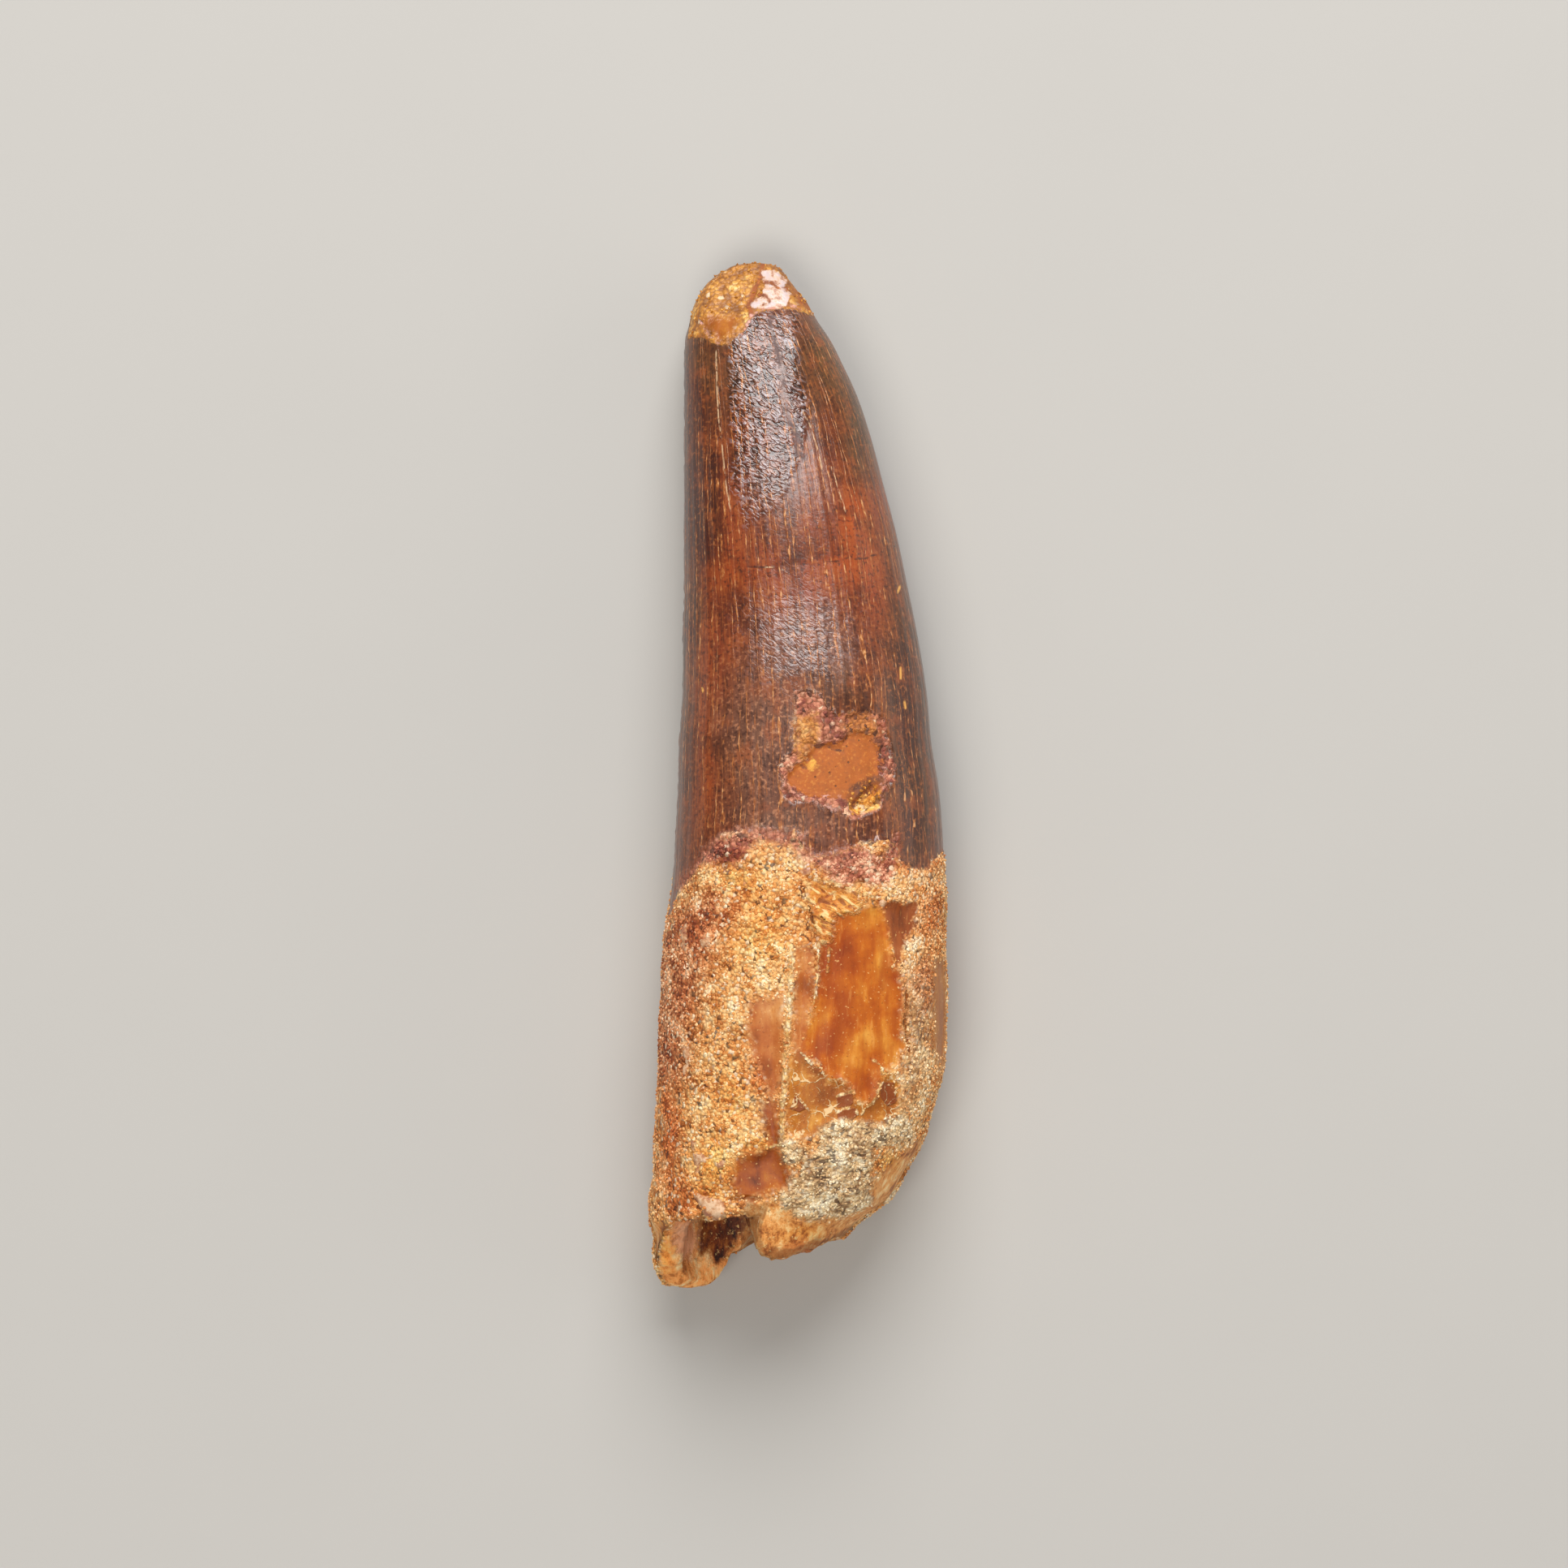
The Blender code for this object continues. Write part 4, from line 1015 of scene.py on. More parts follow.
def between(tree, value, start, end, top=1.0):
    """A mask that rises from 0 to top while a pattern goes from start to end."""
    reach = {"Value": value, "From Min": start, "From Max": end, "To Max": top}
    return add_node(tree, "ShaderNodeMapRange", reach, interpolation_type="SMOOTHSTEP")


def within(tree, distance, wobble, start, end):
    """A mask that rises from 0 to 1 between two distances, with its edge made ragged by wobble."""
    return between(tree, add_node(tree, MATH, {0: distance, 1: wobble}, operation="ADD"), start, end)


def lay_zones(tree, finish, layers):
    """Lays finishes over zones in turn: zone, finish, how ragged its edge is, where it starts and ends."""
    for part, above, ragged, start, end in layers:
        finish = lay_over(tree, finish, above, within(tree, stored(tree, part), ragged, start, end))
    return finish


def enamel_finish(tree, place, colours):
    """Polished fossil enamel: chestnut with beaded lengthwise threads, and wrinkles that break its gloss."""
    ring = add_node(tree, STORED, output="Vector", attribute_name="around")
    polish = add_node(tree, STORED, output="Fac", attribute_name="polish")
    # Patterns that run along the tooth: how short they are beside their width, scale, and detail
    lengthwise = []
    for short, scale, more in (
        (0.06, 0.8, {"Detail": 3.0}),
        (0.06, 0.9, {"Detail": 2.0}),
        (0.35, 1.8, {"Detail": 2.0}),
        (0.12, 1.4, {"Detail": 2.0}),
        (0.6, 3.4, {"Detail": 2.0}),
        (0.11, 5.5, {"Detail": 2.0, "Roughness": 0.6, "Distortion": 0.4}),
    ):
        drawn = add_node(tree, VECTOR_MATH, {0: ring, 1: (1.0, 1.0, short)}, operation="MULTIPLY")
        lengthwise.append(add_node(tree, NOISE, {"Vector": drawn, "Scale": scale, **more}))
    # Stripes about 1.5 mm wide, then what bends, strengthens and beads the threads, and fine hair-like striae
    # 0.15 to 0.2 mm wide
    stripes, sway, wiggle, strong, beads, hairs = lengthwise
    # Pale threads about 0.6 mm apart at the middle of the tooth, which run together towards the tip. Each has
    # its own strength, and is beaded along its length.
    parts = add_node(tree, "ShaderNodeSeparateXYZ", {0: ring}, output=None)
    turn = add_node(tree, MATH, {0: parts.outputs[1], 1: parts.outputs[0]}, operation="ARCTAN2")
    phase = weighed(tree, [(turn, THREADS_AROUND), (sway, 13.0), (wiggle, 7.0)])
    wave = add_node(tree, MATH, {0: phase}, operation="SINE")
    thread = weighed(tree, [(between(tree, wave, 0.74, 0.98), between(tree, strong, 0.38, 0.58))])
    dashes = weighed(tree, [(thread, between(tree, beads, 0.40, 0.56))])
    bright = weighed(tree, [(thread, between(tree, beads, 0.56, 0.66))])
    # The striae fade where the enamel is wrinkled
    calm = weighed(tree, [(1.0, 1.0), (polish, -0.85)])
    hairs = weighed(tree, [(hairs, calm), (polish, 0.425)])
    # Wrinkles 0.3 mm wide that run aslant across the tooth
    aslant = add_node(
        tree, MAPPING,
        {"Vector": place, "Rotation": (0.0, 0.0, -0.6), "Scale": (1.5, 0.8, 1.0)}, vector_type="TEXTURE",
    )
    wrinkles = fine_noise(tree, aslant, 0.42, 1.0, 0.4, 1.2)
    mottle = fine_noise(tree, place, 0.3, 1.0, 0.6)
    blotches = fine_noise(tree, place, 1.8, 5.0)
    # Pale specks where the pale field lies, which on the crown are painted sparkle
    cream = stored(tree, "cream")
    specks = weighed(tree, [(between(tree, mottle, 0.54, 0.68, 0.4), cream)])
    colour = painted(tree, colours.chestnut, [
        (stored(tree, "olive"), colours.olive),
        (stored(tree, "red"), colours.red),
        (stored(tree, "slate"), colours.slate),
        # Lighter where the pale field lies, partly painted highlight, and dark red where the dark red field
        # lies, partly painted shade on the flanks and beside the highlights
        (between(tree, cream, 0.0, 1.0, 0.6), "#7c5240"),
        (stored(tree, "ember"), "#421402"),
        (stored(tree, "gold"), "#b04c12"),
    ])
    colour = tinted(tree, colour, [
        (blotches, 0.52, 0.68, 0.5, "#984a1c"),
        (blotches, 0.48, 0.34, 0.5, "#44200f"),
        (stripes, 0.50, 0.34, 0.35, "#3a1a0a"),
        (stripes, 0.54, 0.70, 0.25, "#9a4c1a"),
        (hairs, 0.47, 0.32, 0.5, "#34180a"),
        (hairs, 0.54, 0.70, 0.5, "#a25a24"),
        (mottle, 0.44, 0.28, 0.6, "#34160a"),
        (mottle, 0.56, 0.74, 0.45, "#a85e2a"),
    ])
    # Where the enamel is polished: painted shade in the wrinkles' hollows and a painted highlight on their
    # crests. The pale specks after them are painted sparkle.
    colour = painted(tree, colour, [
        (weighed(tree, [(between(tree, wrinkles, 0.52, 0.38, 0.8), polish)]), "#24130d"),
        (weighed(tree, [(between(tree, wrinkles, 0.54, 0.68, 0.55), polish)]), "#a49ca2"),
        (specks, "#bc8868"),
        (between(tree, thread, 0.0, 1.0, 0.35), "#98501f"),
        (between(tree, dashes, 0.0, 1.0, 0.65), "#bc7438"),
        (between(tree, bright, 0.0, 1.0, 0.8), colours.vein),
    ])
    vein = within(tree, stored(tree, "vein"), 0.0, 0.09, 0.02)
    vein = weighed(tree, [(vein, between(tree, beads, 0.40, 0.52, 0.85))])
    crack = within(tree, stored(tree, "cross_crack"), 0.0, 0.14, 0.04)
    crack = weighed(tree, [(crack, between(tree, blotches, 0.44, 0.56))])
    # A smooth stripe down the crown, darker red and rougher: a real smooth streak whose dark is partly
    # painted shade, where no gloss falls
    stripe = weighed(tree, [(stored(tree, "stripe"), 1.0), (mottle, 1.0), (1.0, -0.5)])
    stripe = weighed(tree, [(between(tree, stripe, 0.42, 0.08), between(tree, blotches, 0.40, 0.56))])
    colour = painted(tree, colour, [
        (between(tree, stripe, 0.0, 1.0, 0.7), "#40170c"),
        (between(tree, crack, 0.0, 1.0, 0.75), "#34160c"),
        (vein, "#d8b48c"),
        (within(tree, stored(tree, "gilt"), 0.0, 0.14, 0.03), "#e8a850"),
    ])
    roughness = weighed(tree, [(polish, -0.09), (blotches, 0.1), (stripe, 0.25), (1.0, 0.25)])
    fold = weighed(tree, [(polish, 0.085), (1.0, 0.014)])
    height = weighed(tree, [
        (wrinkles, fold), (hairs, 0.012), (weighed(tree, [(thread, calm)]), 0.01), (mottle, 0.008),
        (blotches, 0.02),
    ])
    return Finish(colour, roughness, height)


def sand_finish(tree, place, stops, grain=0.27, relief_mm=0.15, dark_from=0.92, pale_from=0.88):
    """Sand set in a hard crust: glassy cream, ochre and dark grains side by side, quite rough."""
    bent = bent_places(tree, place, 0.8, 0.4)
    grains = add_node(tree, CELLS, {"Vector": bent, "Scale": 1000 / grain, "Randomness": 1.0}, output=None)
    kinds = add_node(tree, "ShaderNodeSeparateColor", {0: grains.outputs["Color"]}, output=None)
    drift = fine_noise(tree, place, 1.9, 5.0, 0.65)
    # Grains of one kind gather in patches a few millimetres wide
    pick = weighed(tree, [
        (kinds.outputs[0], 0.42), (drift, 1.7), (stored(tree, "cream"), 0.18), (stored(tree, "ember"), -0.16),
        (1.0, -0.6),
    ])
    colour = add_node(tree, COLOUR_RAMP, {0: pick}, stops=stops)
    colour = tinted(tree, root_toned(tree, colour), [
        (kinds.outputs[2], pale_from, pale_from + 0.04, 0.6, "#fdebc8"),
        # Painted shade in the gaps between the grains
        (grains.outputs["Distance"], 0.42, 0.78, 0.55, "#7c421a"),
        (kinds.outputs[1], dark_from, dark_from + 0.02, 0.75, "#44261a"),
    ])
    height = weighed(tree, [(grains.outputs["Distance"], -relief_mm), (drift, 0.3)])
    return Finish(colour, 0.75, height)


def grey_finish(tree, place):
    """Pale sand of the grey patch: cream clumps with dark seams that run across the tooth, the seams being
    painted shade in the sunken rows.
    """
    sand = sand_finish(tree, place, GREY_SAND, 0.36, 0.2, 0.96)
    flat = add_node(tree, MAPPING, {"Vector": place, "Scale": (0.35, 1.0, 1.0)})
    seams = fine_noise(tree, flat, 0.5, 3.0, 0.6, 0.6)
    colour = tinted(tree, sand.colour, [
        # Painted shade in the sunken seams
        (seams, 0.45, 0.37, 0.8, "#5e4a3a"),
        (seams, 0.54, 0.68, 0.45, "#f6e8c8"),
    ])
    return Finish(colour, 0.8, weighed(tree, [(sand.height, 1.0), (seams, 0.25)]))


def dentine_finish(tree, place, stops, contrast=1.0):
    """Bare dentine of the root: smooth, waxy and cloudy, with faint scratches that run lengthwise."""
    streaked = add_node(
        tree, MAPPING, {"Vector": place, "Rotation": (0.0, 0.0, -0.08), "Scale": (1.0, 0.2, 1.0)}
    )
    streaks = fine_noise(tree, streaked, 1.6, 4.0, 0.6, 0.5)
    clouds = fine_noise(tree, place, 2.2, 5.0, 0.55)
    fibres = fine_noise(tree, streaked, 0.4, 3.0)
    specks = fine_noise(tree, place, 0.22, 1.0)
    pick = weighed(tree, [
        (streaks, 0.45 * contrast), (clouds, 0.55 * contrast), (1.0, 0.5 - 0.5 * contrast),
        (stored(tree, "ember"), -0.16), (stored(tree, "gold"), 0.16),
    ])
    colour = add_node(tree, COLOUR_RAMP, {0: pick}, stops=stops)
    streak = within(tree, stored(tree, "streak"), 0.0, 0.75, 0.05)
    colour = tinted(tree, colour, [
        (streak, 0.0, 1.0, 0.5, "#a04814"),
        (fibres, 0.58, 0.40, 0.3, "#a04e16"),
        (fibres, 0.60, 0.76, 0.3, "#e4a254"),
        (specks, 0.66, 0.78, 0.5, "#f0c078"),
        (specks, 0.34, 0.24, 0.5, "#7c3c12"),
    ])
    height = weighed(tree, [(fibres, 0.016), (clouds, 0.05), (specks, 0.01)])
    return Finish(colour, 0.45, height)


def flaky_finish(tree, place):
    """Dentine that lifts in thin golden flakes: pale wavy edges over orange."""
    waves = fine_noise(tree, place, 0.9, 4.0, 0.6, 1.6)
    turned = add_node(
        tree, MAPPING,
        {"Vector": place, "Rotation": (0.0, 0.0, -0.55), "Scale": (2.6, 1.0, 1.0)}, vector_type="TEXTURE",
    )
    edges = fine_noise(tree, turned, 0.6, 2.0, distortion=1.0)
    colour = add_node(
        tree, COLOUR_RAMP, {0: waves},
        stops=[(0.3, "#9c4a1c"), (0.45, "#cc7a30"), (0.58, "#dc9440"), (0.72, "#eab25c")],
    )
    colour = tinted(tree, colour, [
        (edges, 0.53, 0.62, 0.75, "#fbdc98"),
        (edges, 0.46, 0.36, 0.8, "#84401c"),
    ])
    return Finish(colour, 0.5, weighed(tree, [(edges, 0.3), (waves, 0.2)]))


def shard_finish(tree, place):
    """Dentine crazed into shards: amber streaks, brown plates, and cream mineral in thin cracks."""
    base = dentine_finish(tree, place, SHARD, 1.8)
    plate = within(tree, stored(tree, "plate"), 0.0, -0.04, 0.08)
    grit = fine_noise(tree, place, 0.35, 3.0, 0.7)
    fade = fine_noise(tree, place, 1.1, 3.0)
    bent = bent_places(tree, place, 0.9, 1.2)
    cracks = add_node(tree, CELLS, {"Vector": bent, "Scale": 1000 / 1.3}, feature="DISTANCE_TO_EDGE")
    line = weighed(tree, [(cracks, 1.0), (fade, -0.3), (1.0, 0.155)])
    cream = between(tree, line, 0.04, 0.0)
    colour = tinted(tree, base.colour, [
        (plate, 0.0, 1.0, 0.85, "#843e1c"),
        (fade, 0.56, 0.68, 0.5, "#e0a458"),
        (grit, 0.60, 0.74, 0.7, "#f0cc94"),
        (grit, 0.40, 0.28, 0.4, "#7a4220"),
        (cream, 0.0, 1.0, 0.8, "#eccb98"),
    ])
    height = weighed(tree, [(cream, 0.04), (grit, 0.06), (plate, 0.05), (base.height, 1.0)])
    return Finish(colour, 0.5, height)


def bone_finish(tree, place, stops):
    """Bare root end, broken and worn: brown dentine with golden flecks and fine lengthwise fibres."""
    streaked = add_node(tree, MAPPING, {"Vector": place, "Scale": (1.0, 0.4, 1.0)})
    fibres = fine_noise(tree, streaked, 0.6, 5.0, 0.7)
    clouds = fine_noise(tree, place, 2.0, 3.0)
    flecks = fine_noise(tree, place, 0.4, 3.0, 0.7)
    pick = weighed(tree, [(fibres, 1.6), (clouds, 1.1), (1.0, -0.84)])
    colour = add_node(tree, COLOUR_RAMP, {0: pick}, stops=stops)
    # Painted shade along the broken end and on the right of the cavity's wall
    edge = weighed(tree, [(stored(tree, "rim"), 1.0), (clouds, -2.2), (1.0, 0.3)])
    colour = tinted(tree, root_toned(tree, colour), [
        (flecks, 0.58, 0.70, 0.8, "#f8d088"),
        (flecks, 0.42, 0.30, 0.6, "#7a441c"),
        (edge, 0.1, -0.4, 0.55, "#6a3e1c"),
    ])
    height = weighed(tree, [(fibres, 0.12), (flecks, 0.09), (clouds, 0.1)])
    return Finish(colour, 0.6, height)


def filler_finish(tree, place, ground):
    """Putty pressed into the chip: even orange brown, smooth, with a few pits left by air."""
    mottle = fine_noise(tree, place, 0.9, 4.0, 0.6)
    pits = add_node(tree, CELLS, {"Vector": place, "Scale": 1000 / 0.85})
    pit = between(tree, pits, 0.13, 0.06)
    specks = fine_noise(tree, place, 0.25, 2.0)
    colour = tinted(tree, ground, [
        (mottle, 0.40, 0.62, 0.5, "#b65e0c"),
        (mottle, 0.42, 0.30, 0.6, "#964e0a"),
        (specks, 0.54, 0.70, 0.6, "#ca7e2c"),
        (specks, 0.44, 0.30, 0.5, "#8c4a14"),
    ])
    # Painted shade in the air pits
    colour = painted(tree, colour, [(pit, "#6d3a16")])
    height = weighed(tree, [(mottle, 0.02), (pit, -0.04), (specks, 0.012)])
    return Finish(colour, 0.75, height)


def flake_finish(tree, place, ground, pale):
    """Pale mineral flakes: near white with a pink cast, a little glossy, with brown in their hollows."""
    patches = fine_noise(tree, place, 0.7, 4.0, 0.65)
    colour = tinted(tree, ground, [
        (patches, 0.42, 0.60, 0.85, pale),
        (patches, 0.48, 0.36, 0.9, "#a46a50"),
    ])
    return Finish(colour, 0.38, weighed(tree, [(patches, 0.12)]))


def enamel_material():
    """Fossil enamel: hard, polished and glossy, chipped in one place, filled there, and broken at the tip."""
    _, colours = settings()
    material, tree, place, wobble, faint = start_material("polished_fossil_enamel")
    finish = enamel_finish(tree, place, colours)

    # Chip: lumpy pinkish rim, ochre grit, smooth filler, bright grit in the pit, painted shadow along the
    # pit's upper edge, and dark cracks
    pink = sand_finish(tree, place, PINK_SAND, 0.32, 0.26, 0.93, 0.96)
    ochre = sand_finish(tree, place, OCHRE_GRIT, 0.3, 0.2, 0.94, 0.95)
    sugar = sand_finish(tree, place, SUGAR, 0.34, 0.1, 1.0, 0.96)
    sugar.roughness = 0.5
    resin = dentine_finish(tree, place, TIP_SMOOTH, 1.5)
    resin.roughness = 0.3
    grit = sand_finish(tree, place, PIT_GRIT, 0.4, 0.2)
    putty = filler_finish(tree, place, colours.filler)
    pit_shadow_and_crack_brown = filler_finish(tree, place, "#5a2c10")
    lip = filler_finish(tree, place, "#d8a498")
    finish = lay_zones(tree, finish, (
        ("chip", pink, wobble, -0.1, 0.2),
        ("ochre_chip", ochre, wobble, -0.5, 0.4),
        ("filler", putty, wobble, -0.1, 0.15),
        ("pit", grit, faint, -0.1, 0.2),
        # Painted shadow along the pit's upper edge, and dark cracks
        ("pit_shade", pit_shadow_and_crack_brown, wobble, 0.55, 0.15),
        ("chip_crack", pit_shadow_and_crack_brown, faint, 0.16, 0.04),
        ("lip", lip, wobble, 0.16, -0.1),
        ("dot", filler_finish(tree, place, "#e8ac40"), wobble, -0.2, 0.1),
        ("crust", sand_finish(tree, place, SAND), wobble, -0.1, 0.15),
        ("pink", pink, wobble, -0.5, 0.6),
    ))

    # Broken tip: sugary ochre, a smooth patch, a brown rim and ridge, and pale flakes with brown seams
    rust = filler_finish(tree, place, "#84421a")
    # Pale flakes of the tip: near-white mineral, whose grey-lilac cast is partly painted reflection
    flakes = flake_finish(tree, place, colours.pale_stone, "#d4c0c0")
    finish = lay_zones(tree, finish, (
        ("break", sugar, faint, -0.08, 0.08),
        ("smooth_break", resin, faint, -0.3, 0.5),
        ("tip_rim", rust, faint, -0.3, 0.7),
        ("tip_ridge", rust, faint, 0.34, 0.06),
        ("flake", flakes, faint, -0.05, 0.1),
        ("seam", rust, faint, 0.2, 0.04),
        ("pale_edge", lip, faint, 0.16, 0.02),
        ("fleck", flakes, faint, -0.05, 0.1),
    ))
    finish_material(tree, finish, 1.62, 0.5)
    return material


def root_material():
    """Root of a fossil tooth: rough sand crust, waxy bare dentine, and pale mineral flakes."""
    material, tree, place, wobble, faint = start_material("sand_crusted_dentine")
    finish = sand_finish(tree, place, SAND)
    grey = grey_finish(tree, place)
    finish = lay_zones(tree, finish, (
        ("red_crust", sand_finish(tree, place, RED_SAND), wobble, -1.8, 1.6),
        ("grey_strip", grey, wobble, -1.4, 2.4),
        ("pink", sand_finish(tree, place, PINK_SAND, 0.3, 0.16, 0.9, 0.9), wobble, -0.5, 0.6),
        ("lobe", bone_finish(tree, place, BONE), wobble, -0.4, 0.5),
        ("margin", dentine_finish(tree, place, MARGIN), wobble, -0.4, 0.5),
        ("shard", shard_finish(tree, place), wobble, -0.5, 0.3),
        ("tan_window", dentine_finish(tree, place, TAN, 1.7), wobble, -0.7, 0.6),
        ("amber", dentine_finish(tree, place, AMBER, 1.4), wobble, -0.4, 0.4),
        ("flaky", flaky_finish(tree, place), wobble, -0.4, 0.4),
        ("brown", dentine_finish(tree, place, BROWN, 2.2), wobble, -0.8, 0.5),
        ("corner", dentine_finish(tree, place, CORNER, 1.5), wobble, -0.2, 0.3),
        ("under", dentine_finish(tree, place, TAN), wobble, -0.4, 0.3),
        ("grey", grey, wobble, -0.3, 0.3),
    ))
    pale = sand_finish(tree, place, CREAM_SAND, 0.3, 0.1, 1.0)
    finish = lay_zones(tree, finish, (
        ("crack", pale, faint, 0.14, 0.03),
        ("ridge", pale, faint, 0.34, 0.1),
        ("thin_ridge", pale, faint, 0.12, 0.02),
        ("dark_line", filler_finish(tree, place, "#5a2e14"), faint, 0.12, 0.02),
        ("fleck", flake_finish(tree, place, "#c0885c", "#e8c4a0"), faint, -0.05, 0.1),
    ))
    # Inside the pulp cavity: brown bone painted lighter than the bone outside, as painted light where the
    # cavity lies in shade, with a tan panel also painted lighter and a dark wall of painted shade
    inner = add_node(tree, STORED, output="Fac", attribute_name="inward")
    finish = lay_over(tree, finish, bone_finish(tree, place, LIT_INNER_BONE), between(tree, inner, 0.0, 0.05))
    finish = lay_zones(tree, finish, (
        ("shaded_wall", bone_finish(tree, place, SHADED_WALL_BONE), wobble, -0.4, 0.4),
        ("panel", dentine_finish(tree, place, LIT_TAN_PANEL), wobble, -0.4, 0.4),
    ))
    finish_material(tree, finish, 1.5, 0.3)
    return material


def new_material(name):
    """A new material without nodes, its node tree, and the place in metres that its patterns read."""
    material = bpy.data.materials.new(name)
    material.use_nodes = True
    tree = material.node_tree
    tree.nodes.clear()
    return material, tree, add_node(tree, "ShaderNodeTexCoord", output="Object")


def start_material(name):
    """A new material, and noise in millimetres that makes its edges ragged, plainly or faintly."""
    material, tree, place = new_material(name)
    noise = fine_noise(tree, place, 0.6, 4.0, 0.65)
    wobble = weighed(tree, [(noise, 1.6), (1.0, -0.8)])
    return material, tree, place, wobble, weighed(tree, [(wobble, 0.4)])


def finish_material(tree, finish, ior, specular, relief_mm=1.0):
    """Links a finish to the shader, whose even values are set on its own sockets."""
    bump = add_node(
        tree, "ShaderNodeBump", {"Height": finish.height, "Distance": relief_mm * MM, "Strength": 1.0}
    )
    shader = add_node(tree, "ShaderNodeBsdfPrincipled", {
        "Base Color": finish.colour, "Roughness": finish.roughness, "Normal": bump, "IOR": ior,
        "Specular IOR Level": specular,
    })
    add_node(tree, "ShaderNodeOutputMaterial", {"Surface": shader}, output=None)


def grain_material(name, stops, roughness):
    """Loose quartz and limestone grains: each has one colour, and broken faces that catch the light."""
    material, tree, place = new_material(name)
    pick = add_node(tree, STORED, output="Fac", attribute_name="grain_tone")
    drift = fine_noise(tree, place, 1.9, 5.0, 0.65)
    wobble = weighed(tree, [(drift, 1.6), (1.0, -0.8)])
    pick = weighed(tree, [
        (pick, 0.6), (drift, 1.6), (stored(tree, "cream"), 0.18), (stored(tree, "ember"), -0.16), (1.0, -0.6),
    ])
    plain, red, pink, grey = (
        add_node(tree, COLOUR_RAMP, {0: pick}, stops=sand) for sand in (stops, RED_SAND, PINK_SAND, GREY_SAND)
    )
    colour = painted(tree, plain, [
        (within(tree, stored(tree, part), wobble, start, end), above)
        for part, start, end, above in (
            ("red_crust", -1.8, 1.6, red), ("grey_strip", -1.4, 2.4, grey), ("pink", -0.3, 0.4, pink),
            ("grey", -0.4, 0.3, grey),
        )
    ])
    speckle = fine_noise(tree, place, 0.1, 2.0)
    colour = painted(tree, root_toned(tree, colour), [(between(tree, speckle, 0.55, 0.35, 0.25), "#8a5228")])
    finish_material(tree, Finish(colour, roughness, speckle), 1.54, 0.35, 0.02)
    return material


def floor_material():
    """Matte paper: pale, even and without gloss, with the faint unevenness of its pulp."""
    _, colours = settings()
    material, tree, place = new_material("matte_paper")
    pulp = add_node(tree, NOISE, {"Vector": place, "Scale": 60.0, "Detail": 3.0})
    colour = painted(tree, colours.floor, [(between(tree, pulp, 0.35, 0.75, 0.08), "#b0ada8")])
    shader = add_node(tree, "ShaderNodeBsdfPrincipled", {"Base Color": colour, "Roughness": 0.9})
    add_node(tree, "ShaderNodeOutputMaterial", {"Surface": shader}, output=None)
    return material


GRAIN_SOCKETS = [
    ("Surface", "NodeSocketGeometry"),
    ("Cover", "NodeSocketString"),
    ("Grains per square metre", "NodeSocketFloat"),
    ("Grain width", "NodeSocketFloat"),
    ("Seed", "NodeSocketInt"),
    ("Material", "NodeSocketMaterial"),
]


def grain_tree():
    """A node tree that strews lumpy grains over a surface, as closely as its cover attribute says."""
    tree = bpy.data.node_groups.new("strewn_grains", "GeometryNodeTree")
    for name, kind in GRAIN_SOCKETS:
        tree.interface.new_socket(name, in_out="INPUT", socket_type=kind)
    tree.interface.new_socket("Grains", in_out="OUTPUT", socket_type="NodeSocketGeometry")
    given = add_node(tree, "NodeGroupInput", output=None)
    cover = add_node(tree, "GeometryNodeInputNamedAttribute", {"Name": given.outputs["Cover"]})
    density = weighed(tree, [(cover, given.outputs["Grains per square metre"])])
    strewn = add_node(
        tree, "GeometryNodeDistributePointsOnFaces",
        {"Mesh": given.outputs["Surface"], "Density": density, "Seed": given.outputs["Seed"]}, output=None,
    )
    tone = add_node(tree, RANDOM, {"Seed": given.outputs["Seed"]}, output=1)
    toned = add_node(
        tree, "GeometryNodeStoreNamedAttribute",
        {"Geometry": strewn.outputs["Points"], "Name": "grain_tone", "Value": tone}, domain="POINT",
    )
    # One lumpy grain of 20 faces, turned and stretched differently each time
    ball = add_node(tree, "GeometryNodeMeshIcoSphere", {"Radius": 0.5, "Subdivisions": 1})
    lumps = add_node(
        tree, RANDOM, {0: (-0.13, -0.13, -0.13), 1: (0.13, 0.13, 0.13), "Seed": 5}, data_type="FLOAT_VECTOR",
    )
    lumpy = add_node(tree, "GeometryNodeSetPosition", {"Geometry": ball, "Offset": lumps})
    turn = add_node(
        tree, RANDOM,
        {0: (0.0, 0.0, 0.0), 1: (WHOLE_TURN,) * 3, "Seed": given.outputs["Seed"]},
        data_type="FLOAT_VECTOR",
    )
    stretch = add_node(
        tree, RANDOM,
        {0: (0.6, 0.5, 0.45), 1: (1.25, 1.15, 0.95), "Seed": given.outputs["Seed"]},
        data_type="FLOAT_VECTOR",
    )
    size = add_node(tree, VECTOR_MATH, {0: stretch, "Scale": given.outputs["Grain width"]}, operation="SCALE")
    placed = add_node(
        tree, "GeometryNodeInstanceOnPoints",
        {"Points": toned, "Instance": lumpy, "Rotation": turn, "Scale": size},
    )
    real = add_node(tree, "GeometryNodeRealizeInstances", {"Geometry": placed})
    finished = add_node(
        tree, "GeometryNodeSetMaterial", {"Geometry": real, "Material": given.outputs["Material"]}
    )
    add_node(tree, "NodeGroupOutput", {0: finished}, output=None)
    return tree


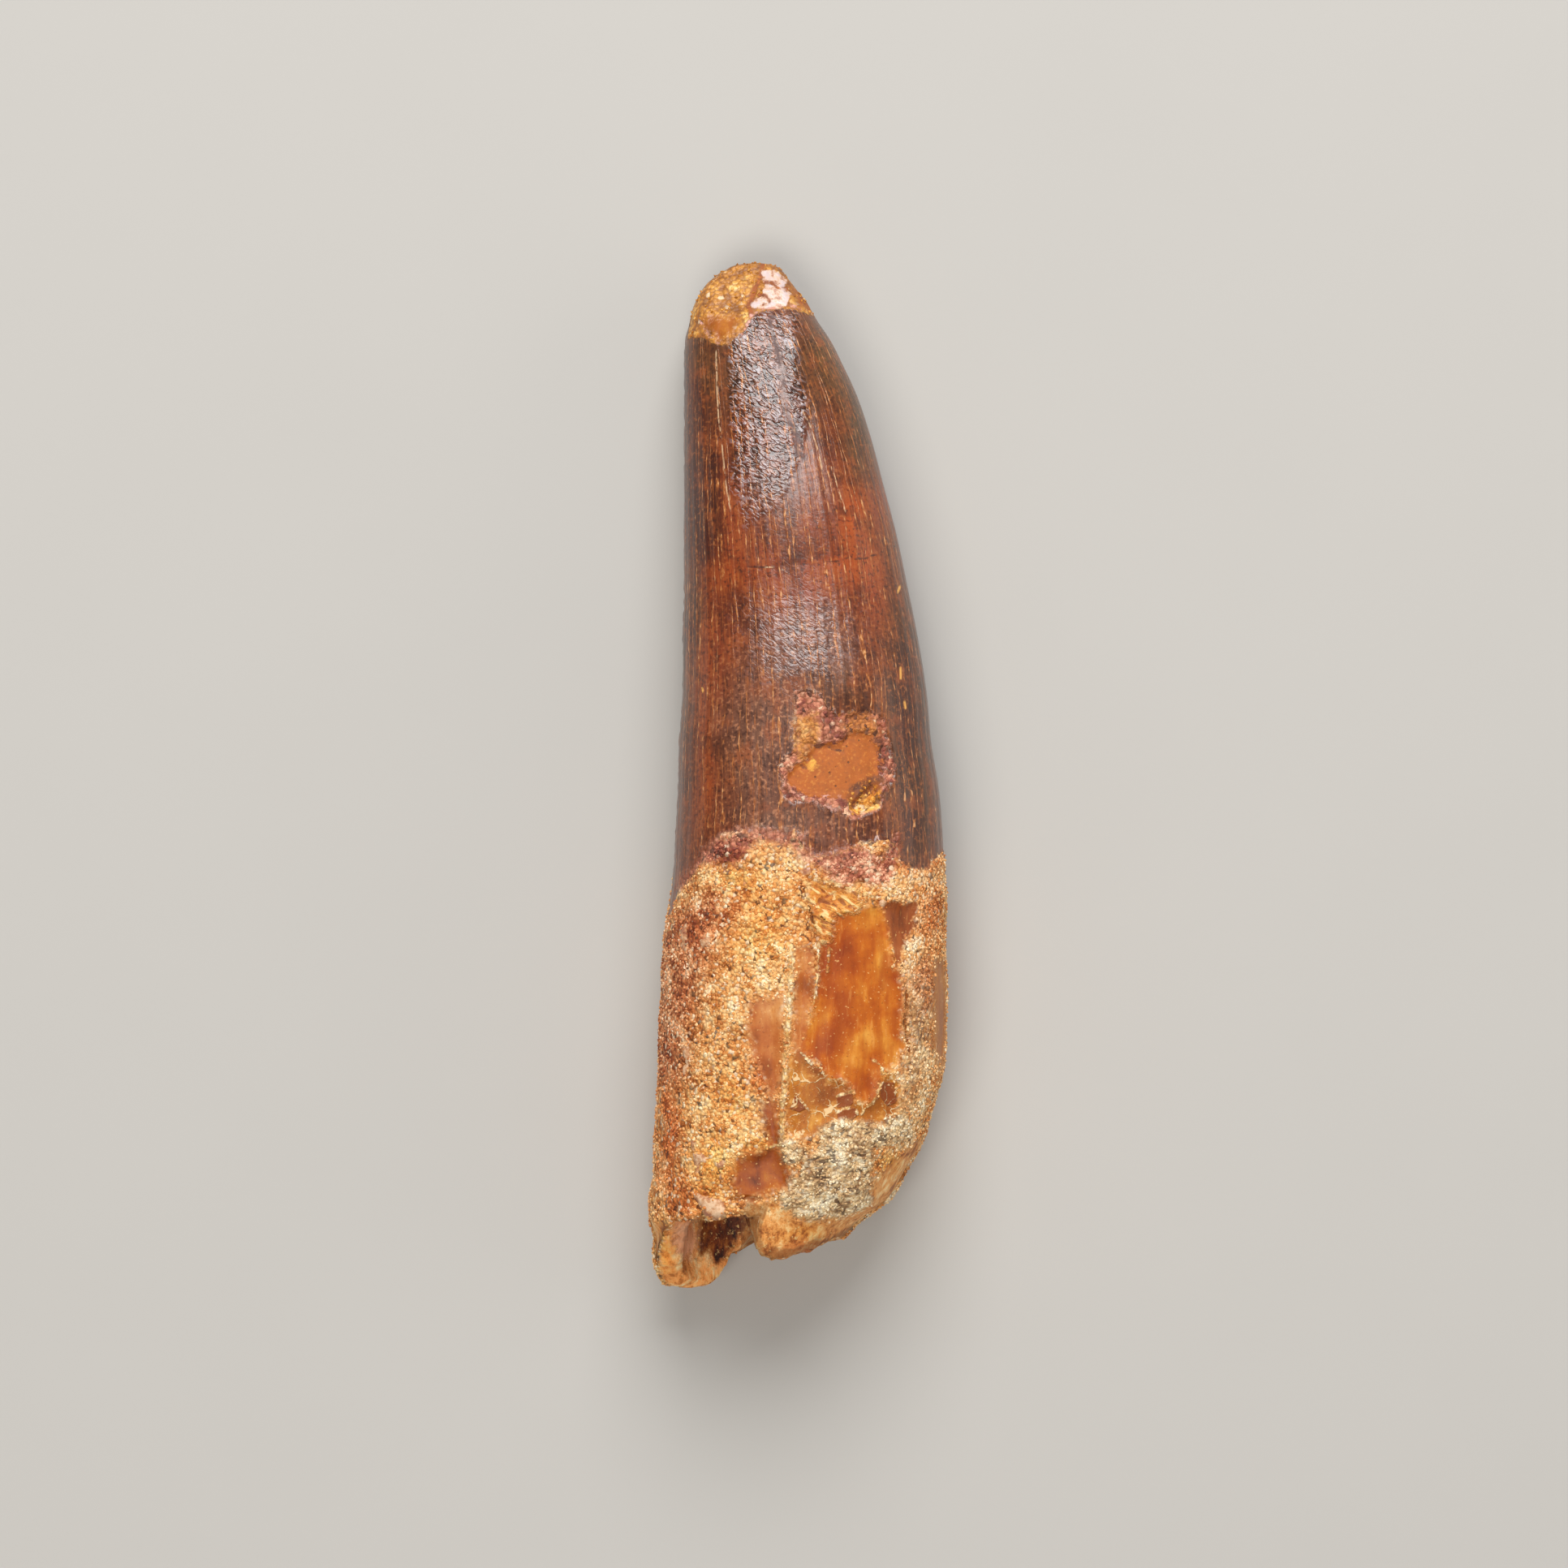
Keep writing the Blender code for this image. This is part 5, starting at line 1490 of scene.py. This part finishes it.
def strew(name, cover, per_mm2, width, seed, material):
    """Makes one piece of grains that lie on the tooth's surface."""
    surface = bpy.data.objects["tooth_surface"]
    piece = bpy.data.objects.new(name, surface.data)
    bpy.context.collection.objects.link(piece)
    tree = bpy.data.node_groups.get("strewn_grains") or grain_tree()
    modifier = piece.modifiers.new("grains", "NODES")
    modifier.node_group = tree
    given = {
        "Cover": cover,
        "Grains per square metre": per_mm2 / MM**2,
        "Grain width": width,
        "Seed": seed,
        "Material": material,
    }
    for item in tree.interface.items_tree:
        if item.name in given:
            modifier[item.identifier] = given[item.name]
    graph = bpy.context.evaluated_depsgraph_get()
    mesh = bpy.data.meshes.new_from_object(piece.evaluated_get(graph))
    piece.modifiers.remove(modifier)
    piece.data = mesh
    mesh.name = name
    if not mesh.polygons:
        raise RuntimeError(f"{name}: no grains were strewn")
    join_object(piece)


def join_object(piece):
    """Makes a piece part of the tooth in the shared frame."""
    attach(piece, BODY_NAME)
    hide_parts(NODE_NAME)


def clamp_to_cad(grid):
    """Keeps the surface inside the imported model's box."""
    low = np.array(CAD_BOX[0]) / MM
    high = np.array(CAD_BOX[1]) / MM
    return np.clip(grid, low, high)


class FOSSIL_OT_surface(bpy.types.Operator):
    """Builds the tooth's closed surface with its relief and finish"""

    bl_idname = "fossil_tooth.surface"
    bl_label = "Tooth surface"

    def execute(self, context):
        grid, degrees, inward = surface_grid()
        zones = zone_distances(grid, inward)
        fields = tone_fields(grid, zones, inward)
        out = relief(grid, zones, degrees) * (inward == 0)[:, None]
        out = out + (inward > 0)[:, None] * 0.12 * soft_noise(grid * [1.0, 0.5, 1.0], 1.0, 81)
        shaped = grid + grid_normals(grid) * out[..., None]
        shaped = break_tip(shaped, zones)
        shaped[..., 2] = np.maximum(shaped[..., 2], 0.0)
        shaped = clamp_to_cad(from_view(shaped))
        mesh = grid_mesh("tooth_surface", shaped)
        angle = np.radians(degrees)[None, :] + 0 * grid[..., 0]
        ring = [AROUND_RADIUS * np.cos(angle), AROUND_RADIUS * np.sin(angle), grid[..., 1]]
        store(mesh, "around", np.stack(ring, axis=-1))
        store(mesh, "inward", inward[:, None] + 0 * grid[..., 0])
        for name in ("polish", "sand_cover", "sugar_cover"):
            store(mesh, name, fields[name])
        measures = {**zones, **fields}
        for layer, parts in MEASURE_LAYERS.items():
            trio = [measures[part] for part in parts] + [0 * zones["crust"]] * (3 - len(parts))
            store(mesh, layer, np.stack(trio, axis=-1))
        mesh.materials.append(enamel_material())
        mesh.materials.append(root_material())
        edge = np.minimum(zones["crust"], np.roll(zones["crust"], -1, axis=1))
        rooted = (np.minimum(edge[:-1], edge[1:]) > ROOT_MATERIAL_START).ravel()
        slots = np.concatenate([rooted, np.zeros(len(degrees)), np.ones(len(degrees))])
        mesh.polygons.foreach_set("material_index", slots.astype(np.int32))
        piece = bpy.data.objects.new("tooth_surface", mesh)
        context.collection.objects.link(piece)
        join_object(piece)
        return {"FINISHED"}


class FOSSIL_OT_sand(bpy.types.Operator):
    """Strews coarse and fine sand grains over the root's crust"""

    bl_idname = "fossil_tooth.sand"
    bl_label = "Sand grains"

    def execute(self, context):
        sizes, _ = settings()
        material = grain_material("quartz_and_limestone_grains", SAND, 0.55)
        cover, seed, width = sizes.grain_cover, sizes.grain_seed, sizes.grain_size
        strew("sand_coarse", "sand_cover", cover, width, seed, material)
        strew("sand_fine", "sand_cover", cover, width * FINE_GRAIN, seed + 1, material)
        return {"FINISHED"}


class FOSSIL_OT_sugar(bpy.types.Operator):
    """Strews the bright grains of the broken tip and of the chip"""

    bl_idname = "fossil_tooth.sugar"
    bl_label = "Grains of the tip and the chip"

    def execute(self, context):
        sizes, _ = settings()
        material = grain_material("calcite_grains", SUGAR, 0.45)
        strew("sugar_grains", "sugar_cover", SUGAR_PER_MM2, sizes.grain_size, sizes.grain_seed + 2, material)
        return {"FINISHED"}


class FOSSIL_OT_stage(bpy.types.Operator):
    """Sets up the floor, the studio lights and the camera"""

    bl_idname = "fossil_tooth.stage"
    bl_label = "Floor, lights and camera"

    def execute(self, context):
        scene = context.scene
        scene.view_settings.view_transform = "Standard"
        mesh = bpy.data.meshes.new("floor")
        corners = [(x * FLOOR_HALF, y * FLOOR_HALF, 0) for x, y in ((-1, -1), (1, -1), (1, 1), (-1, 1))]
        mesh.from_pydata(corners, [], [(0, 1, 2, 3)])
        mesh.materials.append(floor_material())
        floor = bpy.data.objects.new("floor", mesh)
        context.collection.objects.link(floor)

        world = bpy.data.worlds.new("studio")
        world.use_nodes = True
        tree = world.node_tree
        tree.nodes.clear()
        glow = add_node(tree, "ShaderNodeBackground", {"Color": shade("#e9edf2"), "Strength": WORLD_GLOW})
        add_node(tree, "ShaderNodeOutputWorld", {"Surface": glow}, output=None)
        scene.world = world
        for name, place, size, power, colour in LIGHTS:
            lamp = bpy.data.lights.new(name, "AREA")
            lamp.shape = "ELLIPSE"
            lamp.size, lamp.size_y = size
            lamp.energy = power
            lamp.color = linear(colour)
            light = bpy.data.objects.new(name, lamp)
            light.location = place
            light.rotation_euler = Vector(place).to_track_quat("Z", "Y").to_euler()
            context.collection.objects.link(light)

        data = bpy.data.cameras.new("camera")
        data.sensor_width = SENSOR_WIDTH
        data.lens = SENSOR_WIDTH * VIEW_DISTANCE / VIEW_WIDTH
        camera = bpy.data.objects.new("camera", data)
        camera.location = (VIEW_X * MM, VIEW_Y * MM, (VIEW_DISTANCE + OUTLINE_HEIGHT) * MM)
        context.collection.objects.link(camera)
        scene.camera = camera
        return {"FINISHED"}


class FOSSIL_PT_panel(bpy.types.Panel):
    """Lists the tooth's pieces, sizes and colours"""

    bl_idname = "FOSSIL_PT_panel"
    bl_label = "Fossil tooth"
    bl_space_type = "VIEW_3D"
    bl_region_type = "UI"
    bl_category = "Fossil tooth"

    def draw(self, context):
        for operator in OPERATORS:
            self.layout.operator(operator.bl_idname)
        for group in (context.scene.fossil_tooth_sizes, context.scene.fossil_tooth_colours):
            for name in group.__annotations__:
                self.layout.prop(group, name)


OPERATORS = (FOSSIL_OT_stage, FOSSIL_OT_surface, FOSSIL_OT_sand, FOSSIL_OT_sugar)
CLASSES = (FossilToothSizes, FossilToothColours) + OPERATORS + (FOSSIL_PT_panel,)


def register():
    """Registers the settings, the operators and the panel."""
    for item in CLASSES:
        bpy.utils.register_class(item)
    bpy.types.Scene.fossil_tooth_sizes = PointerProperty(type=FossilToothSizes)
    bpy.types.Scene.fossil_tooth_colours = PointerProperty(type=FossilToothColours)


def unregister():
    """Takes the settings, the operators and the panel out again."""
    del bpy.types.Scene.fossil_tooth_colours
    del bpy.types.Scene.fossil_tooth_sizes
    for item in reversed(CLASSES):
        bpy.utils.unregister_class(item)


def main():
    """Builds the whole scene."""
    register()
    bpy.ops.fossil_tooth.stage()
    bpy.ops.fossil_tooth.surface()
    bpy.ops.fossil_tooth.sand()
    bpy.ops.fossil_tooth.sugar()


if __name__ == "__main__":
    main()
